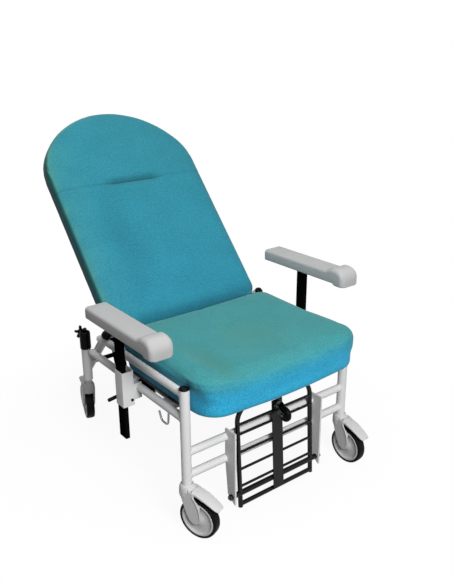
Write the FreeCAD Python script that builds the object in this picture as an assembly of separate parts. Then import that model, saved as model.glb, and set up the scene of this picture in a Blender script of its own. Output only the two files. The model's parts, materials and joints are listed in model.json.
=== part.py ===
import FreeCAD, Part
import math
import os

# Patient rest chair. Millimetres, +Z up, the sitter faces -Y.
# The origin is on the floor under the middle of the chair at rest.
# In names, left is the -X side and right is the +X side, as seen from in front of the chair.

# Layout of the frame
FRONT_Y = -446.5
FRONT_HALF = 317.5
REAR_TAPER = 57.5
WHEELBASE = 729.0
LEG_FOOT_Z = 160.0
LOWER_RAIL_Z = 374.0
RAIL_SPACING = 78.0
POST_ABOVE_RAIL = 17.0
UPPER_CROSS_Z = 266.0
LOWER_CROSS_Z = 192.0

# Tubes
POST_D = 30.0
RAIL_D = 25.0
TUBE_WALL = 2.0
RAIL_END_PLUG = 3.0
CAP_RIM = 0.5
CAP_HEIGHT = 6.0
CAP_PLUG = 12.0
REAR_BEND_R = 56.0
REAR_CORNER_RISE = 57.0
REAR_END_PAST_PIVOT = 15.0
TIE_BAR_D = 16.0
TIE_BAR_AHEAD = 84.0

# Fits
RUN_GAP = 0.05
PLAY = 0.3
SLIDE_GAP = 0.5

# Cushions
EDGE_STEPS = 4

# Seat
SEAT_BAR_W = 40.0
SEAT_BAR_H = 15.0
SEAT_BAR_WALL = 2.0
FRONT_BAR_BACK = 120.0
REAR_BAR_BACK = 330.0
SEAT_BOARD_T = 12.0
SEAT_BOARD_POST_GAP = 14.5
SEAT_BOARD_FRONT = 30.0
SEAT_BOARD_BACK = 358.0
SEAT_BOARD_FRONT_R = 110.0
SEAT_BOARD_BACK_R = 20.0
SEAT_BOLT_D = 8.0
SEAT_BOLT_IN = 137.5
CUSHION_FRONT = 86.0
CUSHION_BOW = 20.0
CUSHION_BACK = 400.0
CUSHION_T = 122.0
CUSHION_SIDE_IN = 6.5
CUSHION_RAIL_GAP = 2.5
CUSHION_FRONT_R = 84.0
CUSHION_BACK_R = 46.0
CUSHION_BOW_R = 1500.0
CUSHION_CROWN = 6.0
CUSHION_CROWN_RUN = 130.0
CUSHION_EDGE_R = 26.0
CUSHION_FOOT_R = 18.0
CUSHION_FOOT_SET_IN = 32.0
CUSHION_WAIST = 2.0
CUSHION_POST_GAP = 2.0

# Backrest, measured in its own upright frame from the hinge axis
HINGE_BACK = 446.0
HINGE_ABOVE_RAIL = 16.0
RECLINE = 41.5
BACK_SIDE_IN = 11.5
BACK_FRONT = 43.0
BACK_T = 60.0
BACK_FOOT = -24.0
BACK_SEAM = 521.0
BACK_RISE = 313.0
BACK_SHOULDER_R = 196.0
BACK_SHOULDER_UP = 60.0
BACK_FOOT_R = 70.0
BACK_CROWN = 6.0
BACK_CROWN_RUN = 130.0
BACK_EDGE_R = 26.0
BACK_REAR_R = 14.0
BACK_WAIST = 2.0
SEAM_R = 4.0
SEAM_DEPTH = 2.5
BACK_BOARD_T = 10.0
BACK_BOARD_INSET = 14.0
BACK_BOARD_FOOT = 24.0
BACK_TUBE_D = 22.0
BACK_UPRIGHT_IN = 117.5
BACK_CROSS_LOW = 30.0
BACK_CROSS_HIGH = 640.0
HINGE_ARM_T = 8.0
HINGE_ARM_R = 18.0
HINGE_ARM_IN = 16.0
HINGE_BOLT_D = 10.0
HINGE_HEAD_D = 18.0
HINGE_HEAD_T = 6.0
HINGE_CAP_D = 22.0
HINGE_CAP_L = 16.0
HINGE_POCKET = 24.0
HINGE_POCKET_TOP = 52.0

# Recline gas spring, on the left side under the seat
GAS_IN = 55.5
GAS_BELOW_BAR = 3.0
GAS_BODY_D = 22.0
GAS_BODY_L = 190.0
GAS_ROD_D = 10.0
GAS_ROD_L = 205.0
GAS_PIN_D = 12.0
GAS_EYE_W = 14.0
GAS_EYE_L = 25.0
GAS_ANCHOR_T = 8.0
GAS_ANCHOR_W = 30.0
LEVER_T = 5.0
LEVER_SIDE_GAP = 1.0
GAS_PIN_PAST_LEVER = 3.0
LEVER_ANGLE = 6.0
LEVER_SWING = 32.5
LEVER_SLOT_PLAY = 4.0
LEVER_RIM = 8.0

# Armrests
SLEEVE_OUT = 42.5
SLEEVE_BACK = 258.0
SLEEVE_W = 40.0
SLEEVE_D = 46.0
SLEEVE_H = 115.0
SLEEVE_WALL = 2.5
SLEEVE_ABOVE_RAIL = 65.0
GUSSET_T = 5.0
GUSSET_DOWN = 36.0
GUSSET_UP = 16.0
GUSSET_PAST_RAIL = 6.0
GUSSET_APART = 30.0
ARM_POST_W = 15.0
ARM_POST_WALL = 1.5
ARM_POST_L = 349.0
ARM_POST_TOP = 563.0
ARM_RAISE = 43.0
ARM_PLATE_T = 4.0
ARM_PLATE_W = 50.0
ARM_PLATE_L = 210.0
PAD_W = 78.0
PAD_L = 381.0
PAD_T = 37.0
PAD_FRONT = 27.5
PAD_BUMP = 14.0
PAD_BUMP_L = 62.0
PAD_NOSE_DROP = 6.0
PAD_EDGE_R = 9.0
CLAMP_SHAFT_D = 8.0
CLAMP_UP = 20.0
CLAMP_ROD_D = 10.0
CLAMP_ROD_OUT = 54.0
CLAMP_ROD_DROP = 7.0
CLAMP_CAM_R = 6.5
CLAMP_CAM_T = 18.0

# Footrest, measured in its own upright frame from its axle
FOOT_AHEAD = 33.0
FOOT_AXLE_Z = 71.0
FOOT_LEAN = 3.4
FOOT_HALF = 147.0
FOOT_TUBE_D = 15.0
FOOT_BEND_R = 52.0
FOOT_TOP = 289.0
FOOT_TIP = -47.0
FOOT_AXLE_D = 17.0
FOOT_STUB_D = 12.0
FOOT_RUNG_D = 8.4
FOOT_RUNGS = (26.0, 84.0, 141.0, 201.0, 233.0)
FOOT_BAR_D = 14.0
FOOT_BAR_Z = -37.0
STRIP_W = 41.0
STRIP_T = 3.0
STRIP_TOP = 270.0
FOOT_CASTOR_Z = 251.0
FOOT_CASTOR_H = 58.0
FOOT_CASTOR_TRAIL = 18.0
FOOT_WHEEL_D = 48.0
FOOT_WHEEL_W = 18.0
FOOT_PLATE_R = 16.0
FOOT_PLATE_T = 3.0
FOOT_FORK_T = 2.5
FOOT_FORK_GAP = 1.2
FOOT_PIN_D = 8.0
BRACKET_BESIDE = 25.0
BRACKET_T = 6.0
BRACKET_D = 34.0
BRACKET_SLOPE = 24.0
BRACKET_TOP_ABOVE_TUBE = 28.0
BRACKET_BELOW_AXLE = 24.0

# Castors, measured from the swivel axis, with the wheel ahead of it
CASTOR_WHEEL_D = 125.0
CASTOR_TYRE_W = 30.0
CASTOR_TYRE_T = 13.0
CASTOR_DISC_W = 27.0
CASTOR_DISC_EDGE_R = 1.5
CASTOR_TRAIL = 42.0
CASTOR_STEM_L = 28.0
CASTOR_HALF_W = 23.5
CASTOR_WHEEL_GAP = 2.0
CASTOR_HOOD_GAP = 4.0
CASTOR_AXLE_D = 10.0
CASTOR_CHEEK_R = 15.0
CASTOR_BOSS_H = 44.0
CASTOR_BROW_OUT = 10.0
CASTOR_BROW_DOWN = 22.0
CASTOR_EDGE_R = 9.0
PEDAL_W = 40.0
PEDAL_T = 7.0
PEDAL_REACH = 80.0
PEDAL_DROP = 15.0
PEDAL_HUB_D = 13.0
PEDAL_PIN_D = 6.0
PEDAL_PIN_AHEAD = 36.0
PEDAL_PIN_DOWN = 19.0
PEDAL_NOTCH_HALF = 17.0
PEDAL_NOTCH_DEPTH = 17.0
CASTOR_TURN = {"front_left": 21.0, "front_right": 2.0, "rear_left": 163.0, "rear_right": -166.0}
PEDAL_LIFT = {"front_left": 0.0, "front_right": 0.0, "rear_left": 14.0, "rear_right": 14.0}

# Drip pole holder on the left rear leg
IV_BACK = 146.0
IV_TUBE_D = 32.0
IV_BORE_D = 25.5
IV_TUBE_DOWN = 80.0
IV_TUBE_UP = 38.0
IV_FLOOR = 8.0
IV_HEAD_D = 37.0
IV_HEAD_H = 62.0
IV_HEAD_EDGE_R = 3.0
IV_STANDOFF = 2.0
IV_TAB_W = 16.0
IV_TAB_H = 28.0
IV_KNOB_D = 46.0
IV_KNOB_T = 15.0
IV_KNOB_GAP = 6.0
IV_KNOB_LOBES = 5
IV_LOBE_D = 15.0
IV_STUD_D = 8.0
IV_KNOB_BELOW_TOP = 12.0

# Bag hook
HOOK_D = 6.5
HOOK_BACK = 82.0
HOOK_DEPTH = 48.0
HOOK_W = 40.0
HOOK_TIP_UP = 28.0
HOOK_BEND_R = 14.0

# Places that follow from the sizes above
V = FreeCAD.Vector
X_AXIS = V(1, 0, 0)
Y_AXIS = V(0, 1, 0)
Z_AXIS = V(0, 0, 1)
ORIGIN = V(0, 0, 0)
REAR_Y = FRONT_Y + WHEELBASE
REAR_HALF = FRONT_HALF - REAR_TAPER
UPPER_RAIL_Z = LOWER_RAIL_Z + RAIL_SPACING
POST_TOP = UPPER_RAIL_Z + POST_ABOVE_RAIL
POST_R = POST_D / 2
RAIL_R = RAIL_D / 2
BORE_R = POST_R - TUBE_WALL
HINGE = V(0, FRONT_Y + HINGE_BACK, UPPER_RAIL_Z + HINGE_ABOVE_RAIL)
REAR_PIVOT = V(FRONT_HALF, HINGE.y, HINGE.z)
REAR_CORNER = V(REAR_HALF, REAR_Y, LEG_FOOT_Z + REAR_CORNER_RISE)
REAR_FOOT = V(REAR_HALF, REAR_Y, LEG_FOOT_Z)
REAR_SLOPE = (REAR_CORNER - REAR_PIVOT).normalize()
REAR_TOP = REAR_PIVOT - REAR_SLOPE * REAR_END_PAST_PIVOT
SEAT_BOARD_Z = LOWER_RAIL_Z
SEAT_BOARD_HALF = FRONT_HALF - POST_R - SEAT_BOARD_POST_GAP
SEAT_BOLT_X = FRONT_HALF - SEAT_BOLT_IN
CUSHION_HALF = FRONT_HALF - CUSHION_SIDE_IN
CUSHION_Z = SEAT_BOARD_Z + SEAT_BOARD_T
GAS_X = GAS_IN - FRONT_HALF
GAS_Z = SEAT_BOARD_Z - SEAT_BAR_H - GAS_BELOW_BAR - GAS_BODY_D / 2
GAS_DROP = HINGE.z - GAS_Z
BACK_HALF = FRONT_HALF - BACK_SIDE_IN
BACK_UPRIGHT_X = FRONT_HALF - BACK_UPRIGHT_IN
BACK_BOARD_Y = BACK_T - BACK_FRONT
BACK_TUBE_Y = BACK_BOARD_Y + BACK_BOARD_T + BACK_TUBE_D / 2
SLEEVE_X = FRONT_HALF + SLEEVE_OUT
SLEEVE_Y = FRONT_Y + SLEEVE_BACK
SLEEVE_TOP = LOWER_RAIL_Z + SLEEVE_ABOVE_RAIL
SLEEVE_FOOT = SLEEVE_TOP - SLEEVE_H
ARM_POST_D = SLEEVE_D - 2 * SLEEVE_WALL - 2 * SLIDE_GAP
ARM_POST_OUT = SLEEVE_X + SLEEVE_W / 2 - SLEEVE_WALL - SLIDE_GAP
ARM_POST_IN = ARM_POST_OUT - ARM_POST_W
FOOT_AXLE = V(0, FRONT_Y - FOOT_AHEAD, FOOT_AXLE_Z)
BRACKET_IN = FOOT_HALF + BRACKET_BESIDE
STRIP_BACK = -FOOT_AXLE_D / 2
STRIP_FRONT = STRIP_BACK - STRIP_T
WHEEL_R = CASTOR_WHEEL_D / 2


def along_rear_leg(z):
    """Point of the rear leg's sloping axis at a height."""
    return REAR_PIVOT + REAR_SLOPE * ((z - REAR_PIVOT.z) / REAR_SLOPE.z)


def rod(start, end, radius):
    """Round bar between two points."""
    way = end - start
    return Part.makeCylinder(radius, way.Length, start, way)


def pipe(start, end, radius, wall):
    """Straight tube between two points."""
    return rod(start, end, radius).cut(rod(start, end, radius - wall))


def block(low, high):
    """Box between two corners."""
    size = high - low
    return Part.makeBox(size.x, size.y, size.z, low)


def corner_arc(before, corner, after, radius):
    """First, middle and last point of the arc that rounds a corner."""
    back = (before - corner).normalize()
    ahead = (after - corner).normalize()
    half = back.getAngle(ahead) / 2
    middle = (back + ahead).normalize()
    reach = radius / math.tan(half)
    centre = corner + middle * (radius / math.sin(half))
    return corner + back * reach, centre - middle * radius, corner + ahead * reach


def rounded_outline(points, radii):
    """Closed wire through corners, each rounded by its radius."""
    count = len(points)
    arcs = []
    for i in range(count):
        arcs.append(corner_arc(points[i - 1], points[i], points[(i + 1) % count], radii[i]))
    edges = []
    for i in range(count):
        edges.append(Part.LineSegment(arcs[i - 1][2], arcs[i][0]).toShape())
        edges.append(Part.Arc(*arcs[i]).toShape())
    return Part.Wire(edges)


def bent_path(points, radius):
    """Open wire along points with a round bend at each inner one."""
    edges = []
    last = points[0]
    for before, corner, after in zip(points, points[1:], points[2:]):
        first, middle, end = corner_arc(before, corner, after, radius)
        edges.append(Part.LineSegment(last, first).toShape())
        edges.append(Part.Arc(first, middle, end).toShape())
        last = end
    edges.append(Part.LineSegment(last, points[-1]).toShape())
    return Part.Wire(edges)


def bent_rod(points, bend, radius):
    """Round bar along a bent path."""
    profile = Part.Wire([Part.makeCircle(radius, points[0], points[1] - points[0])])
    return bent_path(points, bend).makePipeShell([profile], True, True)


def prism(wire, way):
    """Solid swept straight from a flat closed wire."""
    return Part.Face(wire).extrude(way)


def link_plate(centres, radii, way):
    """Flat link whose outline runs round the given circles in turn."""
    thick = way.Length
    normal = V(way).normalize()
    plate = None
    for centre, radius in zip(centres, radii):
        disc = Part.makeCylinder(radius, thick, centre, normal)
        plate = disc if plate is None else plate.fuse(disc)
    for first, second, r1, r2 in zip(centres, centres[1:], radii, radii[1:]):
        run = second - first
        lean = math.acos((r1 - r2) / run.Length)
        side = V(run).normalize()
        across = normal.cross(side)
        up = side * math.cos(lean) + across * math.sin(lean)
        down = side * math.cos(lean) - across * math.sin(lean)
        corners = [first + up * r1, second + up * r2, second + down * r2, first + down * r1]
        web = prism(Part.makePolygon(corners + corners[:1]), way)
        plate = plate.fuse(web)
    return plate.removeSplitter()


def mirrored(shape):
    """The same piece on the other side of the chair."""
    return shape.mirror(ORIGIN, X_AXIS)


def pair(name, shape):
    """Left and right nodes of a piece modelled on the +X side."""
    return {name + "_right": shape, name + "_left": mirrored(shape)}


def both(shape):
    """One group of a piece and its mirror image."""
    return Part.makeCompound([shape, mirrored(shape)])


def tilted(shape, centre, angle):
    """Piece modelled upright about the origin, leaned back about a cross axis and set in place."""
    placed = shape.copy()
    placed.rotate(ORIGIN, X_AXIS, -angle)
    placed.translate(centre)
    return placed


# Side frames
def rear_leg_core():
    """The rear leg's outside, without its bore."""
    return bent_rod([REAR_TOP, REAR_CORNER, REAR_FOOT], REAR_BEND_R, POST_R)


def hinge_hole(radius):
    """Round space along the hinge axis through a rear leg."""
    reach = V(POST_D, 0, 0)
    return rod(REAR_PIVOT - reach, REAR_PIVOT + reach, radius)


def rear_leg():
    bore = bent_rod([REAR_TOP, REAR_CORNER, REAR_FOOT], REAR_BEND_R, BORE_R)
    return rear_leg_core().cut(bore).cut(hinge_hole(HINGE_BOLT_D / 2))


def front_post_core():
    return rod(V(FRONT_HALF, FRONT_Y, LEG_FOOT_Z), V(FRONT_HALF, FRONT_Y, POST_TOP), POST_R)


def front_post():
    bore = rod(V(FRONT_HALF, FRONT_Y, LEG_FOOT_Z), V(FRONT_HALF, FRONT_Y, POST_TOP), BORE_R)
    return front_post_core().cut(bore)


def rail_core(z):
    """Side rail's outside, from the front post to the far side of the rear leg's axis."""
    end_y = along_rear_leg(z).y
    return rod(V(FRONT_HALF, FRONT_Y, z), V(FRONT_HALF, end_y, z), RAIL_R)


def rail(z):
    end_y = along_rear_leg(z).y - RAIL_END_PLUG
    bore = rod(V(FRONT_HALF, FRONT_Y, z), V(FRONT_HALF, end_y, z), RAIL_R - TUBE_WALL)
    return rail_core(z).cut(bore).cut(front_post_core()).cut(rear_leg_core())


def tube_cap(end, way):
    """Black end cap: a rimmed disc with a plug inside the tube."""
    disc = rod(end, end + way * CAP_HEIGHT, POST_R + CAP_RIM)
    rounds = [e for e in disc.Edges if len(e.Vertexes) == 1]
    rim = [e for e in rounds if (e.CenterOfMass - end).dot(way) > CAP_HEIGHT / 2]
    disc = disc.makeFillet(CAP_HEIGHT / 2, rim)
    return disc.fuse(rod(end - way * CAP_PLUG, end, BORE_R)).removeSplitter()


def tube_caps():
    front = tube_cap(V(FRONT_HALF, FRONT_Y, POST_TOP), Z_AXIS)
    rear = tube_cap(REAR_TOP, REAR_SLOPE * -1).cut(hinge_hole(HINGE_BOLT_D / 2 + PLAY))
    return Part.makeCompound([front, rear, mirrored(front), mirrored(rear)])


def front_cross(z):
    left = V(-FRONT_HALF, FRONT_Y, z)
    right = V(FRONT_HALF, FRONT_Y, z)
    return pipe(left, right, RAIL_R, TUBE_WALL).cut(front_post_core()).cut(mirrored(front_post_core()))


def rear_tie_bar():
    """Black bar between the two rear legs."""
    along = REAR_SLOPE * (-TIE_BAR_AHEAD / REAR_SLOPE.y)
    end = REAR_CORNER + along
    bar = rod(V(-end.x, end.y, end.z), end, TIE_BAR_D / 2)
    return bar.cut(rear_leg_core()).cut(mirrored(rear_leg_core()))


# Seat
def seat_bar(back):
    """Flat tube between the lower rails that carries the seat board."""
    low = V(-FRONT_HALF, FRONT_Y + back - SEAT_BAR_W / 2, SEAT_BOARD_Z - SEAT_BAR_H)
    high = V(FRONT_HALF, FRONT_Y + back + SEAT_BAR_W / 2, SEAT_BOARD_Z)
    wall = V(0, SEAT_BAR_WALL, SEAT_BAR_WALL)
    bar = block(low, high).cut(block(low + wall, high - wall))
    bar = bar.cut(rail_core(LOWER_RAIL_Z)).cut(mirrored(rail_core(LOWER_RAIL_Z)))
    for spot in seat_bolt_spots(back):
        bar = bar.cut(rod(spot - Z_AXIS * SEAT_BAR_H, spot, SEAT_BOLT_D / 2))
    return bar


def seat_bolt_spots(back):
    """Where the board's bolts pass the top of a seat bar."""
    return [V(side * SEAT_BOLT_X, FRONT_Y + back, SEAT_BOARD_Z) for side in (-1, 1)]


def seat_bolt(spot):
    """Bolt from below the bar into the board, with its head."""
    under = spot - Z_AXIS * SEAT_BAR_H
    shank = rod(under, spot + Z_AXIS * (SEAT_BOARD_T / 2), SEAT_BOLT_D / 2)
    return shank.fuse(rod(under - Z_AXIS * (SEAT_BOLT_D / 2), under, SEAT_BOLT_D)).removeSplitter()


def seat_bolts():
    spots = seat_bolt_spots(FRONT_BAR_BACK) + seat_bolt_spots(REAR_BAR_BACK)
    return Part.makeCompound([seat_bolt(spot) for spot in spots])


def seat_board():
    """Board with round front corners, set back under the cushion's edge."""
    front = FRONT_Y - SEAT_BOARD_FRONT
    back = FRONT_Y + SEAT_BOARD_BACK
    half = SEAT_BOARD_HALF
    corners = [V(-half, back, SEAT_BOARD_Z), V(-half, front, SEAT_BOARD_Z),
               V(half, front, SEAT_BOARD_Z), V(half, back, SEAT_BOARD_Z)]
    radii = [SEAT_BOARD_BACK_R, SEAT_BOARD_FRONT_R, SEAT_BOARD_FRONT_R, SEAT_BOARD_BACK_R]
    board = prism(rounded_outline(corners, radii), Z_AXIS * SEAT_BOARD_T)
    for back in (FRONT_BAR_BACK, REAR_BAR_BACK):
        for spot in seat_bolt_spots(back):
            board = board.cut(rod(spot, spot + Z_AXIS * (SEAT_BOARD_T / 2), SEAT_BOLT_D / 2))
    return board


def quarter_round(radius):
    """Inset and drop of the rings that round an edge, from its side to its flat."""
    turns = [math.pi / 2 * i / EDGE_STEPS for i in range(EDGE_STEPS + 1)]
    return [(radius * (1 - math.cos(a)), radius * (1 - math.sin(a))) for a in turns]


def crown(height, run):
    """Inset and rise of the rings that swell a cushion's face."""
    shares = [(i + 1) / EDGE_STEPS for i in range(EDGE_STEPS)]
    return [(run * s, height * (1 - (1 - s) ** 2)) for s in shares]


def seat_section(half, inset, z, rear_in):
    """Cushion outline at one height: bowed front, rounded corners, rear drawn in by rear_in."""
    w = half - inset
    front = FRONT_Y - CUSHION_FRONT + inset
    back = FRONT_Y + CUSHION_BACK - inset - rear_in
    middle = V(0, front - CUSHION_BOW * w / CUSHION_HALF, z)
    points = [V(-w, back, z), V(-w, front, z), middle, V(w, front, z), V(w, back, z)]
    front_r = max(CUSHION_FRONT_R - inset, CUSHION_FRONT_R / 3)
    back_r = max(CUSHION_BACK_R - inset, CUSHION_BACK_R / 3)
    return rounded_outline(points, [back_r, front_r, CUSHION_BOW_R, front_r, back_r])


def seat_cushion():
    """Crowned foam cushion that swells above the rails; its rear slopes in at the foot."""
    low_half = FRONT_HALF - RAIL_R - CUSHION_RAIL_GAP
    edge_z = CUSHION_Z + CUSHION_T
    swell_z = UPPER_RAIL_Z + RAIL_R
    waist_z = (CUSHION_Z + CUSHION_FOOT_R + swell_z) / 2
    sections = []
    for inset, drop in reversed(quarter_round(CUSHION_FOOT_R)):
        sections.append((low_half, inset, CUSHION_Z + drop, CUSHION_FOOT_SET_IN))
    sections.append((low_half, CUSHION_WAIST, waist_z, CUSHION_FOOT_SET_IN / 2))
    sections.append((low_half, 0.0, swell_z, 0.0))
    sections += [(CUSHION_HALF, inset, edge_z - drop, 0.0) for inset, drop in quarter_round(CUSHION_EDGE_R)]
    for inset, rise in crown(CUSHION_CROWN, CUSHION_CROWN_RUN):
        sections.append((CUSHION_HALF, CUSHION_EDGE_R + inset, edge_z + rise, 0.0))
    cushion = Part.makeLoft([seat_section(*s) for s in sections], True, True)
    clear_top = V(FRONT_HALF, FRONT_Y, POST_TOP + 2 * CAP_HEIGHT)
    post = rod(V(FRONT_HALF, FRONT_Y, 0), clear_top, POST_R + CAP_RIM + CUSHION_POST_GAP)
    return cushion.cut(post).cut(mirrored(post))


# Backrest
def back_section(inset, y, foot_z):
    """Backrest outline at one depth: straight sides, round foot corners, arched top."""
    half = BACK_HALF - inset
    base = BACK_SEAM + BACK_SHOULDER_UP
    rise = BACK_RISE - BACK_SHOULDER_UP
    run = BACK_HALF - BACK_SHOULDER_R
    top_r = (run ** 2 + rise ** 2 - BACK_SHOULDER_R ** 2) / (2 * (rise - BACK_SHOULDER_R))
    top_z = base + rise - top_r
    shoulder_r = BACK_SHOULDER_R - inset
    foot_r = BACK_FOOT_R - inset
    if foot_r < BACK_FOOT_R / 4:
        foot_r = BACK_FOOT_R / 4
    foot = foot_z + inset

    def on_arc(cx, cz, radius, angle):
        return V(cx + radius * math.cos(angle), y, cz + radius * math.sin(angle))

    join = math.atan2(base - top_z, run)
    right_join = on_arc(run, base, shoulder_r, join)
    left_join = V(-right_join.x, y, right_join.z)
    right_mid = on_arc(run, base, shoulder_r, join / 2)
    left_mid = V(-right_mid.x, y, right_mid.z)
    foot_mid = foot_r * (1 - math.sqrt(0.5))
    edges = [
        Part.LineSegment(V(half, y, foot + foot_r), V(half, y, base)).toShape(),
        Part.Arc(V(half, y, base), right_mid, right_join).toShape(),
        Part.Arc(right_join, V(0, y, top_z + top_r - inset), left_join).toShape(),
        Part.Arc(left_join, left_mid, V(-half, y, base)).toShape(),
        Part.LineSegment(V(-half, y, base), V(-half, y, foot + foot_r)).toShape(),
        Part.Arc(V(-half, y, foot + foot_r), V(-half + foot_mid, y, foot + foot_mid),
                 V(-half + foot_r, y, foot)).toShape(),
        Part.LineSegment(V(-half + foot_r, y, foot), V(half - foot_r, y, foot)).toShape(),
        Part.Arc(V(half - foot_r, y, foot), V(half - foot_mid, y, foot + foot_mid),
                 V(half, y, foot + foot_r)).toShape(),
    ]
    return Part.Wire(edges)


def back_cushion():
    """Crowned pad with a sewn seam across its front."""
    front = -BACK_FRONT
    rear = BACK_BOARD_Y
    waist_y = (front + BACK_EDGE_R + rear - BACK_REAR_R) / 2
    sections = [(inset, rear - drop) for inset, drop in reversed(quarter_round(BACK_REAR_R))]
    sections.append((BACK_WAIST, waist_y))
    sections += [(inset, front + drop) for inset, drop in quarter_round(BACK_EDGE_R)]
    for inset, rise in crown(BACK_CROWN, BACK_CROWN_RUN):
        sections.append((BACK_EDGE_R + inset, front - rise))
    pad = Part.makeLoft([back_section(inset, y, BACK_FOOT) for inset, y in sections], True, True)
    groove_y = front - BACK_CROWN + SEAM_DEPTH - SEAM_R
    reach = V(BACK_HALF, 0, 0)
    groove = rod(V(0, groove_y, BACK_SEAM) - reach, V(0, groove_y, BACK_SEAM) + reach, SEAM_R)
    pad = pad.cut(groove).cut(hinge_pocket()).cut(mirrored(hinge_pocket()))
    return tilted(pad, HINGE, RECLINE)


def hinge_pocket():
    """Space at the cushion's rear foot corner for the hinge arm and bolt."""
    inner = arm_faces()[0] - HINGE_HEAD_T - PLAY - CUSHION_RAIL_GAP
    low = V(inner, -HINGE_POCKET, BACK_FOOT - BACK_EDGE_R)
    return block(low, V(FRONT_HALF, BACK_T, HINGE_POCKET_TOP))


def back_board():
    wire = back_section(BACK_BOARD_INSET, BACK_BOARD_Y, BACK_BOARD_FOOT)
    return tilted(prism(wire, V(0, BACK_BOARD_T, 0)), HINGE, RECLINE)


def arm_faces():
    """Inner and outer side of the hinge arm."""
    outer = FRONT_HALF - POST_R - HINGE_ARM_IN
    return outer - HINGE_ARM_T, outer


def back_cross(z):
    """Cross tube behind the back board."""
    reach = arm_faces()[1] if z == BACK_CROSS_LOW else BACK_UPRIGHT_X
    ends = V(reach, BACK_TUBE_Y, z), V(-reach, BACK_TUBE_Y, z)
    return rod(*ends, BACK_TUBE_D / 2), rod(*ends, BACK_TUBE_D / 2 - TUBE_WALL)


def back_cross_tubes():
    low, low_bore = back_cross(BACK_CROSS_LOW)
    high, high_bore = back_cross(BACK_CROSS_HIGH)
    tubes = Part.makeCompound([low.cut(low_bore), high.cut(high_bore)])
    return tilted(tubes, HINGE, RECLINE)


def back_uprights():
    low = V(BACK_UPRIGHT_X, BACK_TUBE_Y, BACK_CROSS_LOW)
    high = V(BACK_UPRIGHT_X, BACK_TUBE_Y, BACK_CROSS_HIGH)
    tube = pipe(low, high, BACK_TUBE_D / 2, TUBE_WALL)
    tube = tube.cut(back_cross(BACK_CROSS_LOW)[0]).cut(back_cross(BACK_CROSS_HIGH)[0])
    return tilted(both(tube), HINGE, RECLINE)


def hinge_arms():
    """Plates that turn on the hinge bolts and carry the backrest's lower cross tube."""
    inner = arm_faces()[0]
    spots = [V(inner, 0, 0), V(inner, BACK_TUBE_Y, BACK_CROSS_LOW)]
    plate = link_plate(spots, [HINGE_ARM_R, HINGE_ARM_R], V(HINGE_ARM_T, 0, 0))
    reach = V(HINGE_ARM_T, 0, 0)
    plate = plate.cut(rod(spots[0] - reach, spots[0] + reach * 2, HINGE_BOLT_D / 2 + RUN_GAP))
    plate = plate.cut(rod(spots[1] - reach, spots[1] + reach * 2, BACK_TUBE_D / 2))
    return tilted(both(plate), HINGE, RECLINE)


def recline_levers():
    """Two slotted plates on the lower cross tube, worked by the gas spring's cross pin."""
    swing = math.radians(RECLINE + LEVER_ANGLE)
    way = V(0, math.sin(swing), -math.cos(swing))
    near = GAS_DROP - LEVER_SLOT_PLAY
    far = GAS_DROP / math.cos(math.radians(LEVER_SWING)) + LEVER_SLOT_PLAY
    slot_r = GAS_PIN_D / 2 + LEVER_SLOT_PLAY
    plates = []
    offset = GAS_EYE_W / 2 + LEVER_SIDE_GAP
    for inner in (GAS_X + offset, GAS_X - offset - LEVER_T):
        start = V(inner, 0, 0)
        tube = V(inner, BACK_TUBE_Y, BACK_CROSS_LOW)
        spots = [tube, start + way * near, start + way * far]
        thick = V(LEVER_T, 0, 0)
        outer_r = slot_r + LEVER_RIM
        plate = link_plate(spots, [BACK_TUBE_D / 2 + LEVER_RIM, outer_r, outer_r], thick)
        slot = link_plate([s - thick for s in spots[1:]], [slot_r, slot_r], thick * 3)
        plate = plate.cut(slot).cut(rod(tube - thick, tube + thick * 2, BACK_TUBE_D / 2))
        clear_low = V(inner - LEVER_T, BACK_BOARD_Y - BACK_T, 0)
        clear_high = V(inner + 2 * LEVER_T, BACK_TUBE_Y - BACK_TUBE_D / 4, BACK_SEAM)
        plates.append(plate.cut(block(clear_low, clear_high)))
    return tilted(Part.makeCompound(plates), HINGE, RECLINE)


def hinge_bolts():
    """Bolts through the tops of the rear legs, with a head inside and a shoulder at the leg."""
    inner, outer = arm_faces()
    head_end = inner - PLAY
    end = FRONT_HALF + POST_R + HINGE_CAP_L / 2
    head = rod(V(head_end - HINGE_HEAD_T, HINGE.y, HINGE.z), V(head_end, HINGE.y, HINGE.z), HINGE_HEAD_D / 2)
    shank = rod(V(head_end, HINGE.y, HINGE.z), V(end, HINGE.y, HINGE.z), HINGE_BOLT_D / 2)
    collar = rod(V(outer + PLAY, HINGE.y, HINGE.z), V(FRONT_HALF, HINGE.y, HINGE.z), HINGE_HEAD_D / 2)
    collar = collar.cut(rear_leg_core())
    return both(head.fuse(shank).fuse(collar).removeSplitter())


def hinge_caps():
    """White domed caps on the outer ends of the hinge bolts."""
    start = V(FRONT_HALF, HINGE.y, HINGE.z)
    end = V(FRONT_HALF + POST_R + HINGE_CAP_L, HINGE.y, HINGE.z)
    cap = rod(start, end, HINGE_CAP_D / 2)
    rim = [e for e in cap.Edges if len(e.Vertexes) == 1 and abs(e.CenterOfMass.x - end.x) < 0.01]
    cap = cap.makeFillet(HINGE_CAP_D * 0.45, rim)
    bolt = rod(start, V(FRONT_HALF + POST_R + HINGE_CAP_L / 2, HINGE.y, HINGE.z), HINGE_BOLT_D / 2)
    return both(cap.cut(bolt).cut(rear_leg_core()).cut(rail_core(UPPER_RAIL_Z)))


# Recline gas spring
def gas_pin_y():
    """Where the cross pin stands along the chair at rest."""
    return HINGE.y + GAS_DROP * math.tan(math.radians(LEVER_ANGLE))


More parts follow.
